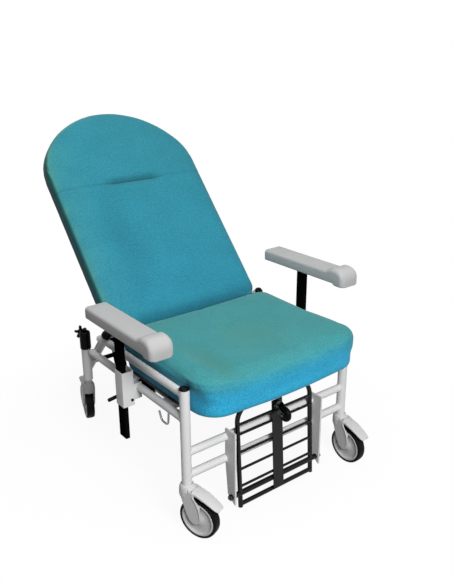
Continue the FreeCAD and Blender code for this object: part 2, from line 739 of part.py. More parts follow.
def gas_anchor():
    """Bracket under the front seat bar that holds the rod."""
    front = FRONT_Y + FRONT_BAR_BACK + SEAT_BAR_W / 2 - GAS_ANCHOR_T
    low = V(GAS_X - GAS_ANCHOR_W / 2, front, GAS_Z - GAS_ANCHOR_W / 2)
    high = V(GAS_X + GAS_ANCHOR_W / 2, front + GAS_ANCHOR_T, SEAT_BOARD_Z - SEAT_BAR_H)
    hole = rod(V(GAS_X, front, GAS_Z), V(GAS_X, front + GAS_ANCHOR_T, GAS_Z), GAS_ROD_D / 2)
    return block(low, high).cut(hole)


def gas_rod():
    """Bright rod with a nut in front of its bracket."""
    front = FRONT_Y + FRONT_BAR_BACK + SEAT_BAR_W / 2 - GAS_ANCHOR_T
    start = V(GAS_X, front, GAS_Z)
    shaft = rod(start, start + Y_AXIS * GAS_ROD_L, GAS_ROD_D / 2)
    return shaft.fuse(rod(start - Y_AXIS * GAS_ANCHOR_T, start, GAS_ROD_D)).removeSplitter()


def gas_cylinder():
    """Black cylinder with an eye and cross pin at its rear end."""
    pin = V(GAS_X, gas_pin_y(), GAS_Z)
    rear = pin - Y_AXIS * GAS_EYE_L
    front = rear - Y_AXIS * GAS_BODY_L
    body = rod(front, rear, GAS_BODY_D / 2)
    bore = rod(front, rear - Y_AXIS * GAS_ROD_D / 2, GAS_ROD_D / 2 + RUN_GAP)
    eye = link_plate([rear - X_AXIS * (GAS_EYE_W / 2), pin - X_AXIS * (GAS_EYE_W / 2)],
                     [GAS_PIN_D * 0.85, GAS_PIN_D * 0.85], X_AXIS * GAS_EYE_W)
    reach = X_AXIS * (GAS_EYE_W / 2 + LEVER_SIDE_GAP + LEVER_T + GAS_PIN_PAST_LEVER)
    cross_pin = rod(pin - reach, pin + reach, GAS_PIN_D / 2)
    return body.fuse(eye).fuse(cross_pin).cut(bore).removeSplitter()


# Armrests
def clamp_shaft():
    """Middle of the clamp lever's shaft, on the +X side."""
    latch = (SLEEVE_X - SLEEVE_W / 2 + SLEEVE_WALL + ARM_POST_IN) / 2
    return V(latch - CLAMP_CAM_R / 3, SLEEVE_Y, SLEEVE_FOOT + CLAMP_UP)


def arm_sleeve():
    """Open sheet box that guides the armrest post and holds its clamp."""
    half = V(SLEEVE_W / 2, SLEEVE_D / 2, 0)
    wall = V(SLEEVE_WALL, SLEEVE_WALL, 0)
    low = V(SLEEVE_X, SLEEVE_Y, SLEEVE_FOOT)
    high = V(SLEEVE_X, SLEEVE_Y, SLEEVE_TOP)
    sleeve = block(low - half, high + half).cut(block(low - half + wall, high + half - wall))
    reach = Y_AXIS * SLEEVE_D
    return sleeve.cut(rod(clamp_shaft() - reach, clamp_shaft() + reach, CLAMP_SHAFT_D / 2 + RUN_GAP))


def sleeve_brackets():
    """Two plates on each side that weld the sleeve to the lower rail."""
    plates = []
    for shift in (-GUSSET_APART / 2, GUSSET_APART / 2):
        y = SLEEVE_Y + shift
        low = V(FRONT_HALF - GUSSET_PAST_RAIL, y - GUSSET_T / 2, LOWER_RAIL_Z - GUSSET_DOWN)
        high = V(SLEEVE_X - SLEEVE_W / 2, y + GUSSET_T / 2, LOWER_RAIL_Z + GUSSET_UP)
        plates.append(block(low, high).cut(rail_core(LOWER_RAIL_Z)))
    return Part.makeCompound(plates + [mirrored(p) for p in plates])


def arm_post(raised):
    """Flat tube with the plate that carries the pad."""
    top = ARM_POST_TOP + raised
    low = V(ARM_POST_IN, SLEEVE_Y - ARM_POST_D / 2, top - ARM_POST_L)
    high = V(ARM_POST_OUT, SLEEVE_Y + ARM_POST_D / 2, top)
    wall = V(ARM_POST_WALL, ARM_POST_WALL, 0)
    tube = block(low, high).cut(block(low + wall, high - wall))
    middle = (low + high) * 0.5
    plate_low = V(middle.x - ARM_PLATE_W / 2, SLEEVE_Y - ARM_PLATE_L / 2, top)
    plate_high = V(middle.x + ARM_PLATE_W / 2, SLEEVE_Y + ARM_PLATE_L / 2, top + ARM_PLATE_T)
    return tube.fuse(block(plate_low, plate_high))


def arm_pad(raised):
    """Moulded pad with a raised rounded front and a drooping nose."""
    under = ARM_POST_TOP + raised + ARM_PLATE_T
    top = under + PAD_T
    front = FRONT_Y + PAD_FRONT
    back = front + PAD_L
    step = front + PAD_BUMP_L
    x = (ARM_POST_IN + ARM_POST_OUT) / 2 - ARM_POST_W / 2 - PAD_W / 2
    points = [
        V(x, back, under),
        V(x, back, top),
        V(x, step + PAD_BUMP * 2.4, top),
        V(x, step, top + PAD_BUMP),
        V(x, front + PAD_NOSE_DROP, top + PAD_BUMP),
        V(x, front, under - PAD_NOSE_DROP),
        V(x, front + PAD_BUMP_L * 0.6, under - PAD_NOSE_DROP),
        V(x, front + PAD_BUMP_L, under),
    ]
    small = PAD_EDGE_R * 1.3
    large = PAD_EDGE_R * 2.5
    radii = [small, small, large, large, large, small, small, small]
    pad = prism(rounded_outline(points, radii), V(PAD_W, 0, 0))
    sides = [e for e in pad.Edges if abs(e.BoundBox.XLength) < 0.01]
    return pad.makeFillet(PAD_EDGE_R, sides)


def clamp_lever():
    """Cross shaft with its cam inside the sleeve and a rod outside it."""
    middle = clamp_shaft()
    wall_y = SLEEVE_Y + SLEEVE_D / 2
    rod_y = wall_y + PLAY + CLAMP_ROD_D / 2
    front = V(middle.x, SLEEVE_Y - SLEEVE_D / 2 - CLAMP_SHAFT_D / 2, middle.z)
    shaft = rod(front, V(middle.x, rod_y, middle.z), CLAMP_SHAFT_D / 2)
    lobe = ARM_POST_IN - PLAY - middle.x
    cam_start = middle - Y_AXIS * (CLAMP_CAM_T / 2)
    nose_r = CLAMP_CAM_R * 0.6
    spots = [cam_start, cam_start + X_AXIS * (lobe - nose_r)]
    cam = link_plate(spots, [CLAMP_CAM_R, nose_r], Y_AXIS * CLAMP_CAM_T)
    root = V(middle.x - CLAMP_ROD_D / 2, rod_y, middle.z)
    tip = V(middle.x + CLAMP_ROD_OUT, rod_y, middle.z - CLAMP_ROD_DROP)
    grip = rod(root, tip, CLAMP_ROD_D / 2)
    return shaft.fuse(cam).fuse(grip).removeSplitter()


# Footrest
def foot_frame():
    """Black U tube with its lower bar."""
    tips = [V(-FOOT_HALF, 0, FOOT_TIP), V(-FOOT_HALF, 0, FOOT_TOP),
            V(FOOT_HALF, 0, FOOT_TOP), V(FOOT_HALF, 0, FOOT_TIP)]
    tube = bent_rod(tips, FOOT_BEND_R, FOOT_TUBE_D / 2)
    return tube, foot_bar()


def foot_bar():
    y = STRIP_BACK + FOOT_BAR_D / 2
    return rod(V(-FOOT_HALF, y, FOOT_BAR_Z), V(FOOT_HALF, y, FOOT_BAR_Z), FOOT_BAR_D / 2)


def footrest_frame():
    tube, bar = foot_frame()
    axle = rod(V(-FOOT_HALF * 2, 0, 0), V(FOOT_HALF * 2, 0, 0), FOOT_AXLE_D / 2)
    return tilted(tube.fuse(bar).removeSplitter().cut(axle), FOOT_AXLE, FOOT_LEAN)


def footrest_rungs():
    tube = foot_frame()[0]
    rungs = []
    for z in FOOT_RUNGS:
        y = STRIP_BACK + FOOT_RUNG_D / 2
        rungs.append(rod(V(-FOOT_HALF, y, z), V(FOOT_HALF, y, z), FOOT_RUNG_D / 2).cut(tube))
    return tilted(Part.makeCompound(rungs), FOOT_AXLE, FOOT_LEAN)


def footrest_axle():
    """Tube through the U with a stub and nut in each bracket."""
    shoulder = V(BRACKET_IN - PLAY, 0, 0)
    stub = V(BRACKET_IN + BRACKET_T + PLAY, 0, 0)
    nut = stub + X_AXIS * (FOOT_STUB_D / 3)
    axle = rod(shoulder * -1, shoulder, FOOT_AXLE_D / 2)
    axle = axle.fuse(rod(nut * -1, nut, FOOT_STUB_D / 2))
    for side in (-1, 1):
        axle = axle.fuse(rod(stub * side, nut * side, FOOT_STUB_D * 0.75))
    return tilted(axle.removeSplitter(), FOOT_AXLE, FOOT_LEAN)


def footrest_strip():
    """Flat bar down the middle with the small castor's plate."""
    low = V(-STRIP_W / 2, STRIP_FRONT, FOOT_BAR_Z)
    high = V(STRIP_W / 2, STRIP_BACK, STRIP_TOP)
    spot = V(0, STRIP_FRONT, FOOT_CASTOR_Z)
    plate = rod(spot, spot - Y_AXIS * FOOT_PLATE_T, FOOT_PLATE_R)
    hole = rod(V(0, STRIP_BACK, FOOT_CASTOR_Z), spot - Y_AXIS * FOOT_PLATE_T, FOOT_PIN_D / 2 + RUN_GAP)
    return tilted(block(low, high).fuse(plate).cut(hole).removeSplitter(), FOOT_AXLE, FOOT_LEAN)


def foot_wheel_centre():
    y = STRIP_FRONT - FOOT_CASTOR_H + FOOT_WHEEL_D / 2
    return V(0, y, FOOT_CASTOR_Z - FOOT_CASTOR_TRAIL)


def footrest_castor_fork():
    """Swivel fork on its pin, hanging below the swivel axis, with the wheel's axle."""
    centre = foot_wheel_centre()
    face = STRIP_FRONT - FOOT_PLATE_T - PLAY
    crown_t = FOOT_FORK_T * 2
    crown = rod(V(0, face, FOOT_CASTOR_Z), V(0, face - crown_t, FOOT_CASTOR_Z), FOOT_PLATE_R)
    pin = rod(V(0, STRIP_BACK, FOOT_CASTOR_Z), V(0, face - crown_t, FOOT_CASTOR_Z), FOOT_PIN_D / 2)
    fork = crown.fuse(pin)
    inner = FOOT_WHEEL_W / 2 + FOOT_FORK_GAP
    for x in (inner, -inner - FOOT_FORK_T):
        spots = [V(x, face - crown_t + FOOT_FORK_T / 2, FOOT_CASTOR_Z), V(x, centre.y, centre.z)]
        cheek = link_plate(spots, [FOOT_PLATE_R * 0.55, FOOT_PIN_D], X_AXIS * FOOT_FORK_T)
        behind = V(x - FOOT_FORK_T, face, FOOT_CASTOR_Z - FOOT_WHEEL_D)
        clear = V(x + FOOT_FORK_T * 2, 0, FOOT_CASTOR_Z + FOOT_WHEEL_D)
        fork = fork.fuse(cheek.cut(block(behind, clear)))
    reach = V(inner + FOOT_FORK_T + FOOT_FORK_T, 0, 0)
    fork = fork.fuse(rod(centre - reach, centre + reach, FOOT_PIN_D / 2))
    return tilted(fork.removeSplitter(), FOOT_AXLE, FOOT_LEAN)


def footrest_castor_wheel():
    centre = foot_wheel_centre()
    half = V(FOOT_WHEEL_W / 2, 0, 0)
    wheel = rod(centre - half, centre + half, FOOT_WHEEL_D / 2)
    wheel = wheel.makeFillet(FOOT_WHEEL_W / 4, [e for e in wheel.Edges if len(e.Vertexes) == 1])
    bore = rod(centre - half, centre + half, FOOT_PIN_D / 2 + RUN_GAP)
    return tilted(wheel.cut(bore), FOOT_AXLE, FOOT_LEAN)


def footrest_bracket():
    """Upright plate welded to both front cross tubes, with the axle's hole near its pointed foot."""
    back = FRONT_Y - RAIL_R
    front = back - BRACKET_D
    top = UPPER_CROSS_Z + BRACKET_TOP_ABOVE_TUBE
    foot = FOOT_AXLE_Z - BRACKET_BELOW_AXLE
    corners = [V(BRACKET_IN, FRONT_Y, top), V(BRACKET_IN, front, top), V(BRACKET_IN, front, foot),
               V(BRACKET_IN, back, foot + BRACKET_SLOPE), V(BRACKET_IN, FRONT_Y, LOWER_CROSS_Z)]
    plate = prism(Part.makePolygon(corners + corners[:1]), X_AXIS * BRACKET_T)
    for z in (UPPER_CROSS_Z, LOWER_CROSS_Z):
        plate = plate.cut(rod(V(0, FRONT_Y, z), V(FRONT_HALF, FRONT_Y, z), RAIL_R))
    hole = rod(V(BRACKET_IN, FOOT_AXLE.y, FOOT_AXLE.z), V(BRACKET_IN + BRACKET_T, FOOT_AXLE.y, FOOT_AXLE.z),
               FOOT_STUB_D / 2 + RUN_GAP)
    return plate.cut(hole)


# Castors
def castor_side(points, radii, half_w):
    """Solid with a side outline, given as ahead and up from the floor, across the castor."""
    wire = rounded_outline([V(-half_w, -ahead, up) for ahead, up in points], radii)
    return prism(wire, V(2 * half_w, 0, 0))


def castor_axle_spot():
    return V(0, -CASTOR_TRAIL, WHEEL_R)


def pedal_pin_spot():
    return V(0, -PEDAL_PIN_AHEAD, LEG_FOOT_Z - PEDAL_PIN_DOWN)


def castor_housing():
    """Moulded fork: round boss at the leg, hood over the wheel and two tapering cheeks."""
    axle = castor_axle_spot()
    top = LEG_FOOT_Z
    r = CASTOR_CHEEK_R
    w = CASTOR_HALF_W
    brow = CASTOR_TRAIL + CASTOR_BROW_OUT
    side = [
        (-w, top - CASTOR_BOSS_H), (-w, top), (w, top), (brow, top - CASTOR_BROW_DOWN),
        (CASTOR_TRAIL + r, top - CASTOR_BOSS_H),
        (CASTOR_TRAIL + r, WHEEL_R - r), (CASTOR_TRAIL - r, WHEEL_R - r),
    ]
    edge = CASTOR_EDGE_R
    body = castor_side(side, [2 * edge, edge, edge, edge, 2 * edge, r * 0.9, r * 0.9], w)
    plan = rod(V(0, 0, 0), V(0, 0, top), w).fuse(block(V(-w, -CASTOR_TRAIL - 3 * r, 0), V(w, 0, top)))
    body = body.common(plan)
    clear = V(CASTOR_TYRE_W / 2 + CASTOR_WHEEL_GAP, 0, 0)
    body = body.cut(rod(axle - clear, axle + clear, WHEEL_R + CASTOR_HOOD_GAP))
    pin = pedal_pin_spot()
    notch_low = V(-PEDAL_NOTCH_HALF, pin.y - CASTOR_TRAIL, pin.z - PEDAL_NOTCH_DEPTH)
    notch_high = V(PEDAL_NOTCH_HALF, pin.y + PEDAL_HUB_D / 2 + PLAY, top)
    body = body.cut(block(notch_low, notch_high))
    across = V(w, 0, 0)
    body = body.fuse(rod(axle - across, axle + across, CASTOR_AXLE_D / 2))
    body = body.fuse(rod(pin - across * 0.9, pin + across * 0.9, PEDAL_PIN_D / 2))
    stem = rod(V(0, 0, top - CASTOR_STEM_L / 2), V(0, 0, top + CASTOR_STEM_L), BORE_R - RUN_GAP)
    body = body.fuse(stem.cut(rod(axle - clear, axle + clear, WHEEL_R + CASTOR_HOOD_GAP)))
    return body.removeSplitter()


def wheel_ring(half_w, outer, inner, edge):
    """Ring about the castor's axle with rounded outer edges."""
    axle = castor_axle_spot()
    half = V(half_w, 0, 0)
    ring = rod(axle - half, axle + half, outer)
    ring = ring.makeFillet(edge, [e for e in ring.Edges if len(e.Vertexes) == 1])
    return ring.cut(rod(axle - half, axle + half, inner))


def castor_tyre():
    return wheel_ring(CASTOR_TYRE_W / 2, WHEEL_R, WHEEL_R - CASTOR_TYRE_T, CASTOR_TYRE_T * 0.6)


def castor_disc():
    bore_r = CASTOR_AXLE_D / 2 + RUN_GAP
    return wheel_ring(CASTOR_DISC_W / 2, WHEEL_R - CASTOR_TYRE_T, bore_r, CASTOR_DISC_EDGE_R)


def castor_pedal():
    """Brake pedal: a hub on its pin and a broad tongue over the tyre."""
    pin = pedal_pin_spot()
    hub_half = V(PEDAL_NOTCH_HALF - PLAY, 0, 0)
    hub = rod(pin - hub_half, pin + hub_half, PEDAL_HUB_D / 2)
    tip = V(0, pin.y - PEDAL_REACH, pin.z - PEDAL_DROP)
    way = (tip - pin).normalize()
    up = X_AXIS.cross(way) * -1
    ears_end = pin + way * (CASTOR_TRAIL * 0.55)
    narrow = [pin + up * (PEDAL_T / 2), pin - up * (PEDAL_T / 2),
              ears_end - up * (PEDAL_T / 2), ears_end + up * (PEDAL_T / 2)]
    neck = prism(Part.makePolygon([p - hub_half for p in narrow + narrow[:1]]), hub_half * 2)
    half = X_AXIS * (PEDAL_W / 2)
    flat = [ears_end - half, ears_end + half, tip + half, tip - half]
    wire = rounded_outline(flat, [PEDAL_T / 2, PEDAL_T / 2, PEDAL_W * 0.45, PEDAL_W * 0.45])
    tongue = prism(wire, up * PEDAL_T)
    tongue.translate(up * (-PEDAL_T / 2))
    pedal = hub.fuse(neck).fuse(tongue)
    return pedal.cut(rod(pin - hub_half, pin + hub_half, PEDAL_PIN_D / 2 + RUN_GAP)).removeSplitter()


def castor_spots():
    """Swivel axis of each castor."""
    return {
        "front_left": V(-FRONT_HALF, FRONT_Y, 0),
        "front_right": V(FRONT_HALF, FRONT_Y, 0),
        "rear_left": V(-REAR_HALF, REAR_Y, 0),
        "rear_right": V(REAR_HALF, REAR_Y, 0),
    }


def castors():
    """All castor nodes, each turned as it stands."""
    nodes = {}
    pieces = {"castor_housing": castor_housing(), "castor_disc": castor_disc(),
              "castor_tyre": castor_tyre(), "castor_pedal": castor_pedal()}
    for place, spot in castor_spots().items():
        for name, shape in pieces.items():
            piece = shape.copy()
            if name == "castor_pedal":
                piece.rotate(pedal_pin_spot(), X_AXIS, -PEDAL_LIFT[place])
            piece.rotate(ORIGIN, Z_AXIS, CASTOR_TURN[place])
            piece.translate(spot)
            nodes[name + "_" + place] = piece
    return nodes


# Drip pole holder
def iv_axis():
    """Socket axis at the height of the leg beside it, on the -X side."""
    leg = REAR_PIVOT + REAR_SLOPE * (IV_BACK / REAR_SLOPE.y)
    return V(-leg.x - POST_R - IV_TUBE_D / 2 - IV_STANDOFF, leg.y, leg.z)


def iv_socket():
    """Tube with a closed foot, on a tab welded to the rear leg."""
    axis = iv_axis()
    foot = axis - Z_AXIS * IV_TUBE_DOWN
    top = axis + Z_AXIS * IV_TUBE_UP
    tab_low = axis - V(0, IV_TAB_W / 2, IV_TAB_H / 2)
    tab_high = axis + V(IV_TUBE_D / 2 + IV_STANDOFF + POST_R, IV_TAB_W / 2, IV_TAB_H / 2)
    socket = rod(foot, top, IV_TUBE_D / 2).fuse(block(tab_low, tab_high))
    socket = socket.cut(mirrored(rear_leg_core()))
    return socket.cut(rod(foot + Z_AXIS * IV_FLOOR, top, IV_BORE_D / 2)).removeSplitter()


def iv_knob_spot():
    axis = iv_axis()
    return axis + Z_AXIS * (IV_TUBE_UP + IV_HEAD_H - IV_KNOB_BELOW_TOP)


def iv_head():
    """Black head with the pole's bore and the clamp screw's hole."""
    axis = iv_axis()
    low = axis + Z_AXIS * IV_TUBE_UP
    high = low + Z_AXIS * IV_HEAD_H
    head = rod(low, high, IV_HEAD_D / 2)
    rim = [e for e in head.Edges if len(e.Vertexes) == 1 and abs(e.CenterOfMass.z - high.z) < 0.01]
    head = head.makeFillet(IV_HEAD_EDGE_R, rim).cut(rod(low, high, IV_BORE_D / 2))
    return head.cut(rod(iv_knob_spot(), iv_knob_spot() + Y_AXIS * IV_HEAD_D, IV_STUD_D / 2 + RUN_GAP))


def iv_knob():
    """Star knob behind the head, on a stud that stops short of the pole's bore."""
    spot = iv_knob_spot()
    face = spot + Y_AXIS * (IV_HEAD_D / 2 + IV_KNOB_GAP)
    stud = rod(spot + Y_AXIS * (IV_BORE_D / 2 + PLAY), face, IV_STUD_D / 2)
    ring_r = IV_KNOB_D / 2 - IV_LOBE_D / 2
    knob = rod(face, face + Y_AXIS * IV_KNOB_T, ring_r)
    for i in range(IV_KNOB_LOBES):
        angle = 2 * math.pi * i / IV_KNOB_LOBES
        out = V(math.sin(angle) * ring_r, 0, math.cos(angle) * ring_r)
        knob = knob.fuse(rod(face + out, face + out + Y_AXIS * IV_KNOB_T, IV_LOBE_D / 2))
    return knob.fuse(stud).removeSplitter()


# Bag hook
def bag_hook():
    """Bent wire under the left lower rail."""
    x = -FRONT_HALF
    y = FRONT_Y + HOOK_BACK
    top = LOWER_RAIL_Z
    low = LOWER_RAIL_Z - RAIL_R - HOOK_DEPTH
    points = [V(x, y, top), V(x, y + HOOK_D, low), V(x, y + HOOK_W, low),
              V(x, y + HOOK_W + 2 * HOOK_D, low + HOOK_TIP_UP)]
    return bent_rod(points, HOOK_BEND_R, HOOK_D / 2).cut(mirrored(rail_core(LOWER_RAIL_Z)))


def all_parts():
    """Every node by name."""
    nodes = {}
    nodes["front_posts"] = both(front_post())
    nodes["upper_rails"] = both(rail(UPPER_RAIL_Z))
    nodes["lower_rails"] = both(rail(LOWER_RAIL_Z))
    nodes["rear_legs"] = both(rear_leg())
    nodes["tube_caps"] = tube_caps()
    nodes["front_cross_upper"] = front_cross(UPPER_CROSS_Z)
    nodes["front_cross_lower"] = front_cross(LOWER_CROSS_Z)
    nodes["rear_tie_bar"] = rear_tie_bar()
    nodes["seat_bar_front"] = seat_bar(FRONT_BAR_BACK)
    nodes["seat_bar_rear"] = seat_bar(REAR_BAR_BACK)
    nodes["seat_bolts"] = seat_bolts()
    nodes["seat_board"] = seat_board()
    nodes["seat_cushion"] = seat_cushion()
    nodes["back_cushion"] = back_cushion()
    nodes["back_board"] = back_board()
    nodes["back_uprights"] = back_uprights()
    nodes["back_cross_tubes"] = back_cross_tubes()
    nodes["hinge_arms"] = hinge_arms()
    nodes["recline_levers"] = recline_levers()
    nodes["hinge_bolts"] = hinge_bolts()
    nodes["hinge_caps"] = hinge_caps()
    nodes["gas_anchor"] = gas_anchor()
    nodes["gas_rod"] = gas_rod()
    nodes["gas_cylinder"] = gas_cylinder()
    nodes["arm_sleeves"] = both(arm_sleeve())
    nodes["sleeve_brackets"] = sleeve_brackets()
    nodes["arm_post_right"] = arm_post(ARM_RAISE)
    nodes["arm_post_left"] = mirrored(arm_post(0))
    nodes["arm_pad_right"] = arm_pad(ARM_RAISE)
    nodes["arm_pad_left"] = mirrored(arm_pad(0))
    nodes.update(pair("clamp_lever", clamp_lever()))
    nodes["footrest_frame"] = footrest_frame()
    nodes["footrest_rungs"] = footrest_rungs()
    nodes["footrest_axle"] = footrest_axle()
    nodes["footrest_strip"] = footrest_strip()
    nodes["footrest_castor_fork"] = footrest_castor_fork()
    nodes["footrest_castor_wheel"] = footrest_castor_wheel()
    nodes["footrest_brackets"] = both(footrest_bracket())
    nodes.update(castors())
    nodes["iv_socket"] = iv_socket()
    nodes["iv_head"] = iv_head()
    nodes["iv_knob"] = iv_knob()
    nodes["bag_hook"] = bag_hook()
    return nodes


def main():
    os.makedirs("parts", exist_ok=True)
    whole = FreeCAD.BoundBox()
    for name, shape in all_parts().items():
        whole.add(shape.BoundBox)
        print(name, len(shape.Solids), round(shape.Volume / 1000.0, 2), shape.isValid())
        shape.exportStep(os.path.join("parts", name + ".step"))
    print("box", whole)


main()
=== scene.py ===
"""Looks of a reclining patient chair: upholstery, moulded parts, finishes and a plain studio stage."""

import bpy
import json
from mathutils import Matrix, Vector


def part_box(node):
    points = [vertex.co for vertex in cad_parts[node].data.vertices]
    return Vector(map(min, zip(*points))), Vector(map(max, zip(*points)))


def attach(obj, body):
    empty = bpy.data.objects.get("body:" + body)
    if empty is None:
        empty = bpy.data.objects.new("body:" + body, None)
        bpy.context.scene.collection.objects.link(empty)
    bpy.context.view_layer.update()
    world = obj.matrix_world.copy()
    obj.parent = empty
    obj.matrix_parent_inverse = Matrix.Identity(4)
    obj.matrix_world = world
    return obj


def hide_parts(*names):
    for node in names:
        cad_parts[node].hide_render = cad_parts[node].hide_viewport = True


bl_info = {
    "name": "Patient Rest Chair",
    "version": (1, 0, 0),
    "blender": (4, 5, 0),
    "location": "View3D > Sidebar > Chair",
    "description": "Builds the upholstery, moulded parts and finishes of a reclining patient chair",
    "category": "Object",
}

import json
import math

import bmesh
import bpy
from bpy.props import FloatProperty, FloatVectorProperty, IntProperty, PointerProperty
from bpy.types import Operator, Panel, PropertyGroup
from mathutils import Matrix, Vector
from mathutils.bvhtree import BVHTree

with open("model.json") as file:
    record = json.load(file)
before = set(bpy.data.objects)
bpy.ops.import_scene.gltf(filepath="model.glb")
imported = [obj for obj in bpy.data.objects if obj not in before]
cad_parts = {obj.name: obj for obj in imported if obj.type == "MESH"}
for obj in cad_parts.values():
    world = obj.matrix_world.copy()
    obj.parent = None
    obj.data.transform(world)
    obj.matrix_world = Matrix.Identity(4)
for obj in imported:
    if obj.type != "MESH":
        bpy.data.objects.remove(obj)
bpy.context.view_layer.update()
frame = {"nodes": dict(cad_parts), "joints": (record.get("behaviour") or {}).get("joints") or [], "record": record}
NODES = frame["nodes"]
JOINTS = {joint["name"]: joint for joint in frame["joints"]}


def joint_spot(name):
    """Where a joint's axis stands at rest."""
    return Vector(JOINTS[name]["pos_m"])


# Places read from the frame, in metres
POST_LOW, POST_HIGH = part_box("front_posts")
POST_R = (POST_HIGH.y - POST_LOW.y) / 2
POST_X = POST_HIGH.x - POST_R
POST_Y = (POST_HIGH.y + POST_LOW.y) / 2
RAIL_LOW, RAIL_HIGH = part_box("lower_rails")
RAIL_R = (RAIL_HIGH.z - RAIL_LOW.z) / 2
SEAT_LOW, SEAT_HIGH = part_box("seat_cushion")
HINGE = joint_spot("backrest_recline")
FOOT_AXLE = joint_spot("footrest_fold")
CASTOR_PLACES = ("front_left", "front_right", "rear_left", "rear_right")
SIDES = {"left": -1, "right": 1}

# Angles at which the leaning groups stand
RECLINE_REST = math.radians(41.5)
FOOTREST_LEAN = math.radians(3.4)
BACK_PLACE = Matrix.Translation(HINGE) @ Matrix.Rotation(-RECLINE_REST, 4, "X")
FOOTREST_PLACE = Matrix.Translation(FOOT_AXLE) @ Matrix.Rotation(-FOOTREST_LEAN, 4, "X")

# Photograph's frame, in pixels, and the camera fitted to it
PHOTO_W = 452
PHOTO_H = 584
PHOTO_FOCAL = 675.4
PHOTO_CENTRE_U = 210.4
PHOTO_CENTRE_V = 290.9
CAMERA_AZIMUTH = math.radians(-36.48)
CAMERA_ELEVATION = math.radians(20.35)
CAMERA_ROLL = math.radians(-0.81)
CAMERA_DISTANCE = 2.164
CAMERA_TARGET = Vector((-0.0214, POST_Y + 0.2738, 0.6073))


def srgb(red, green, blue):
    """Linear colour from screen values of 0 to 255."""
    def channel(value):
        share = value / 255
        return share / 12.92 if share <= 0.04045 else ((share + 0.055) / 1.055) ** 2.4
    return (channel(red), channel(green), channel(blue))


def length_prop(name, text, value):
    """A size in metres."""
    return FloatProperty(name=name, description=text, default=value, min=0.0, unit="LENGTH", precision=5)


def colour_prop(name, text, value):
    """A colour that a user may change."""
    return FloatVectorProperty(name=name, description=text, default=value, subtype="COLOR", min=0.0, max=1.0)


class ChairSizes(PropertyGroup):
    """Sizes of the soft and moulded parts."""
    voxel: length_prop("Foam voxel", "Grid of the foam before it is puffed", 0.0065)
    shrink: length_prop("Foam start", "How far the foam starts inside its cover", 0.002)
    swell_cap: length_prop("Swell cap", "Most that the cover may move while it is puffed", 0.006)
    pressure: FloatProperty(name="Pressure", description="Push of foam on its cover", default=1.2, min=0.0)
    puff_frames: IntProperty(name="Puff frames", description="Steps of the cloth", default=20, min=2)
    seam_depth: length_prop("Seam depth", "How deep a sewn seam is drawn in", 0.0036)
    crease_depth: length_prop("Crease depth", "Depth of the soft crease round the seat's top", 0.0009)
    crease_width: length_prop("Crease width", "Half width of that crease", 0.0048)
    seam_width: length_prop("Seam width", "Half width of a sewn seam's groove", 0.0034)
    tuck_depth: length_prop("Tuck depth", "Depth of the pull in the middle of the back seam", 0.0085)
    tuck_width: length_prop("Tuck width", "Half height of that pull", 0.013)
    tuck_half: length_prop("Tuck reach", "How far the pull reaches to each side", 0.115)
    belly: length_prop("Belly", "How far the seat cushion's front corners swell at the side", 0.008)
    roll_top: length_prop("Roll top", "Height on the backrest where its foot starts to roll under", 0.075)
    roll_height: length_prop("Roll height", "Height over which the foot rolls under", 0.100)
    roll_depth: length_prop("Roll depth", "How far the foot rolls under", 0.030)
    stitch: length_prop("Stitch", "Length of one stitch", 0.0042)
    thread_r: length_prop("Thread radius", "Radius of the sewing thread", 0.00045)
    weld_r: length_prop("Weld bead", "Radius of a weld bead", 0.0019)
    mould_voxel: length_prop("Mould voxel", "Grid that blends a moulded housing", 0.0014)
    pad_edge: length_prop("Pad edge", "Rounding of the armrest pads' top edges", 0.0105)
    pad_foot: length_prop("Pad foot edge", "Rounding of the armrest pads' lower edges", 0.005)


class ChairColours(PropertyGroup):
    """Colours of the finishes."""
    back_cloth: colour_prop("Back cloth", "Upholstery of the backrest", srgb(37, 127, 149))
    back_faded: colour_prop("Faded back cloth", "Upholstery at the backrest's top", srgb(39, 124, 140))
    # Painted sheen: lighter, greener tone laid on the back's rounded left and top edges and its left third
    back_rubbed: colour_prop("Rubbed back cloth", "Worn cloth at the back's left edge", srgb(66, 136, 132))
    seat_cloth: colour_prop("Seat cloth", "Upholstery of the seat's front and sides", srgb(43, 162, 202))
    seat_faded: colour_prop("Faded cloth", "Worn upholstery on top of the seat", srgb(57, 136, 140))
    # Tone of the seat top's middle, fold and rear: rubbed wear together with painted shade of its hollows
    seat_rubbed: colour_prop("Rubbed cloth", "Most worn upholstery in the seat's middle", srgb(64, 132, 127))
    frame_paint: colour_prop("Frame paint", "Powder coat of the tubes", srgb(216, 216, 216))
    black_paint: colour_prop("Black paint", "Paint of the dark steel", srgb(11, 11, 12))
    pad_skin: colour_prop("Armrest skin", "Moulded skin of the pads", srgb(172, 172, 172))
    castor_shell: colour_prop("Castor shell", "Moulded castor plastic", srgb(198, 198, 198))
    rubber: colour_prop("Rubber", "Tyres", srgb(12, 12, 12))
    zinc: colour_prop("Zinc", "Plated steel", srgb(140, 142, 146))
    cap_white: colour_prop("White cap", "Hinge caps", srgb(240, 240, 238))
    thread: colour_prop("Thread", "Sewing thread", srgb(38, 122, 148))
    floor: colour_prop("Floor", "Studio floor", srgb(244, 244, 244))


def sizes():
    return bpy.context.scene.chair_sizes


def colours():
    return bpy.context.scene.chair_colours


# Shader groups
def plug(tree, made, inputs):
    """Set or link a node's inputs by name or number."""
    for key, value in inputs.items():
        if isinstance(value, bpy.types.NodeSocket):
            tree.links.new(value, made.inputs[key])
        else:
            made.inputs[key].default_value = value


def add_node(tree, kind, inputs=None, **settings):
    """Node with its settings and inputs."""
    made = tree.nodes.new(kind)
    for key, value in settings.items():
        setattr(made, key, value)
    plug(tree, made, inputs or {})
    return made


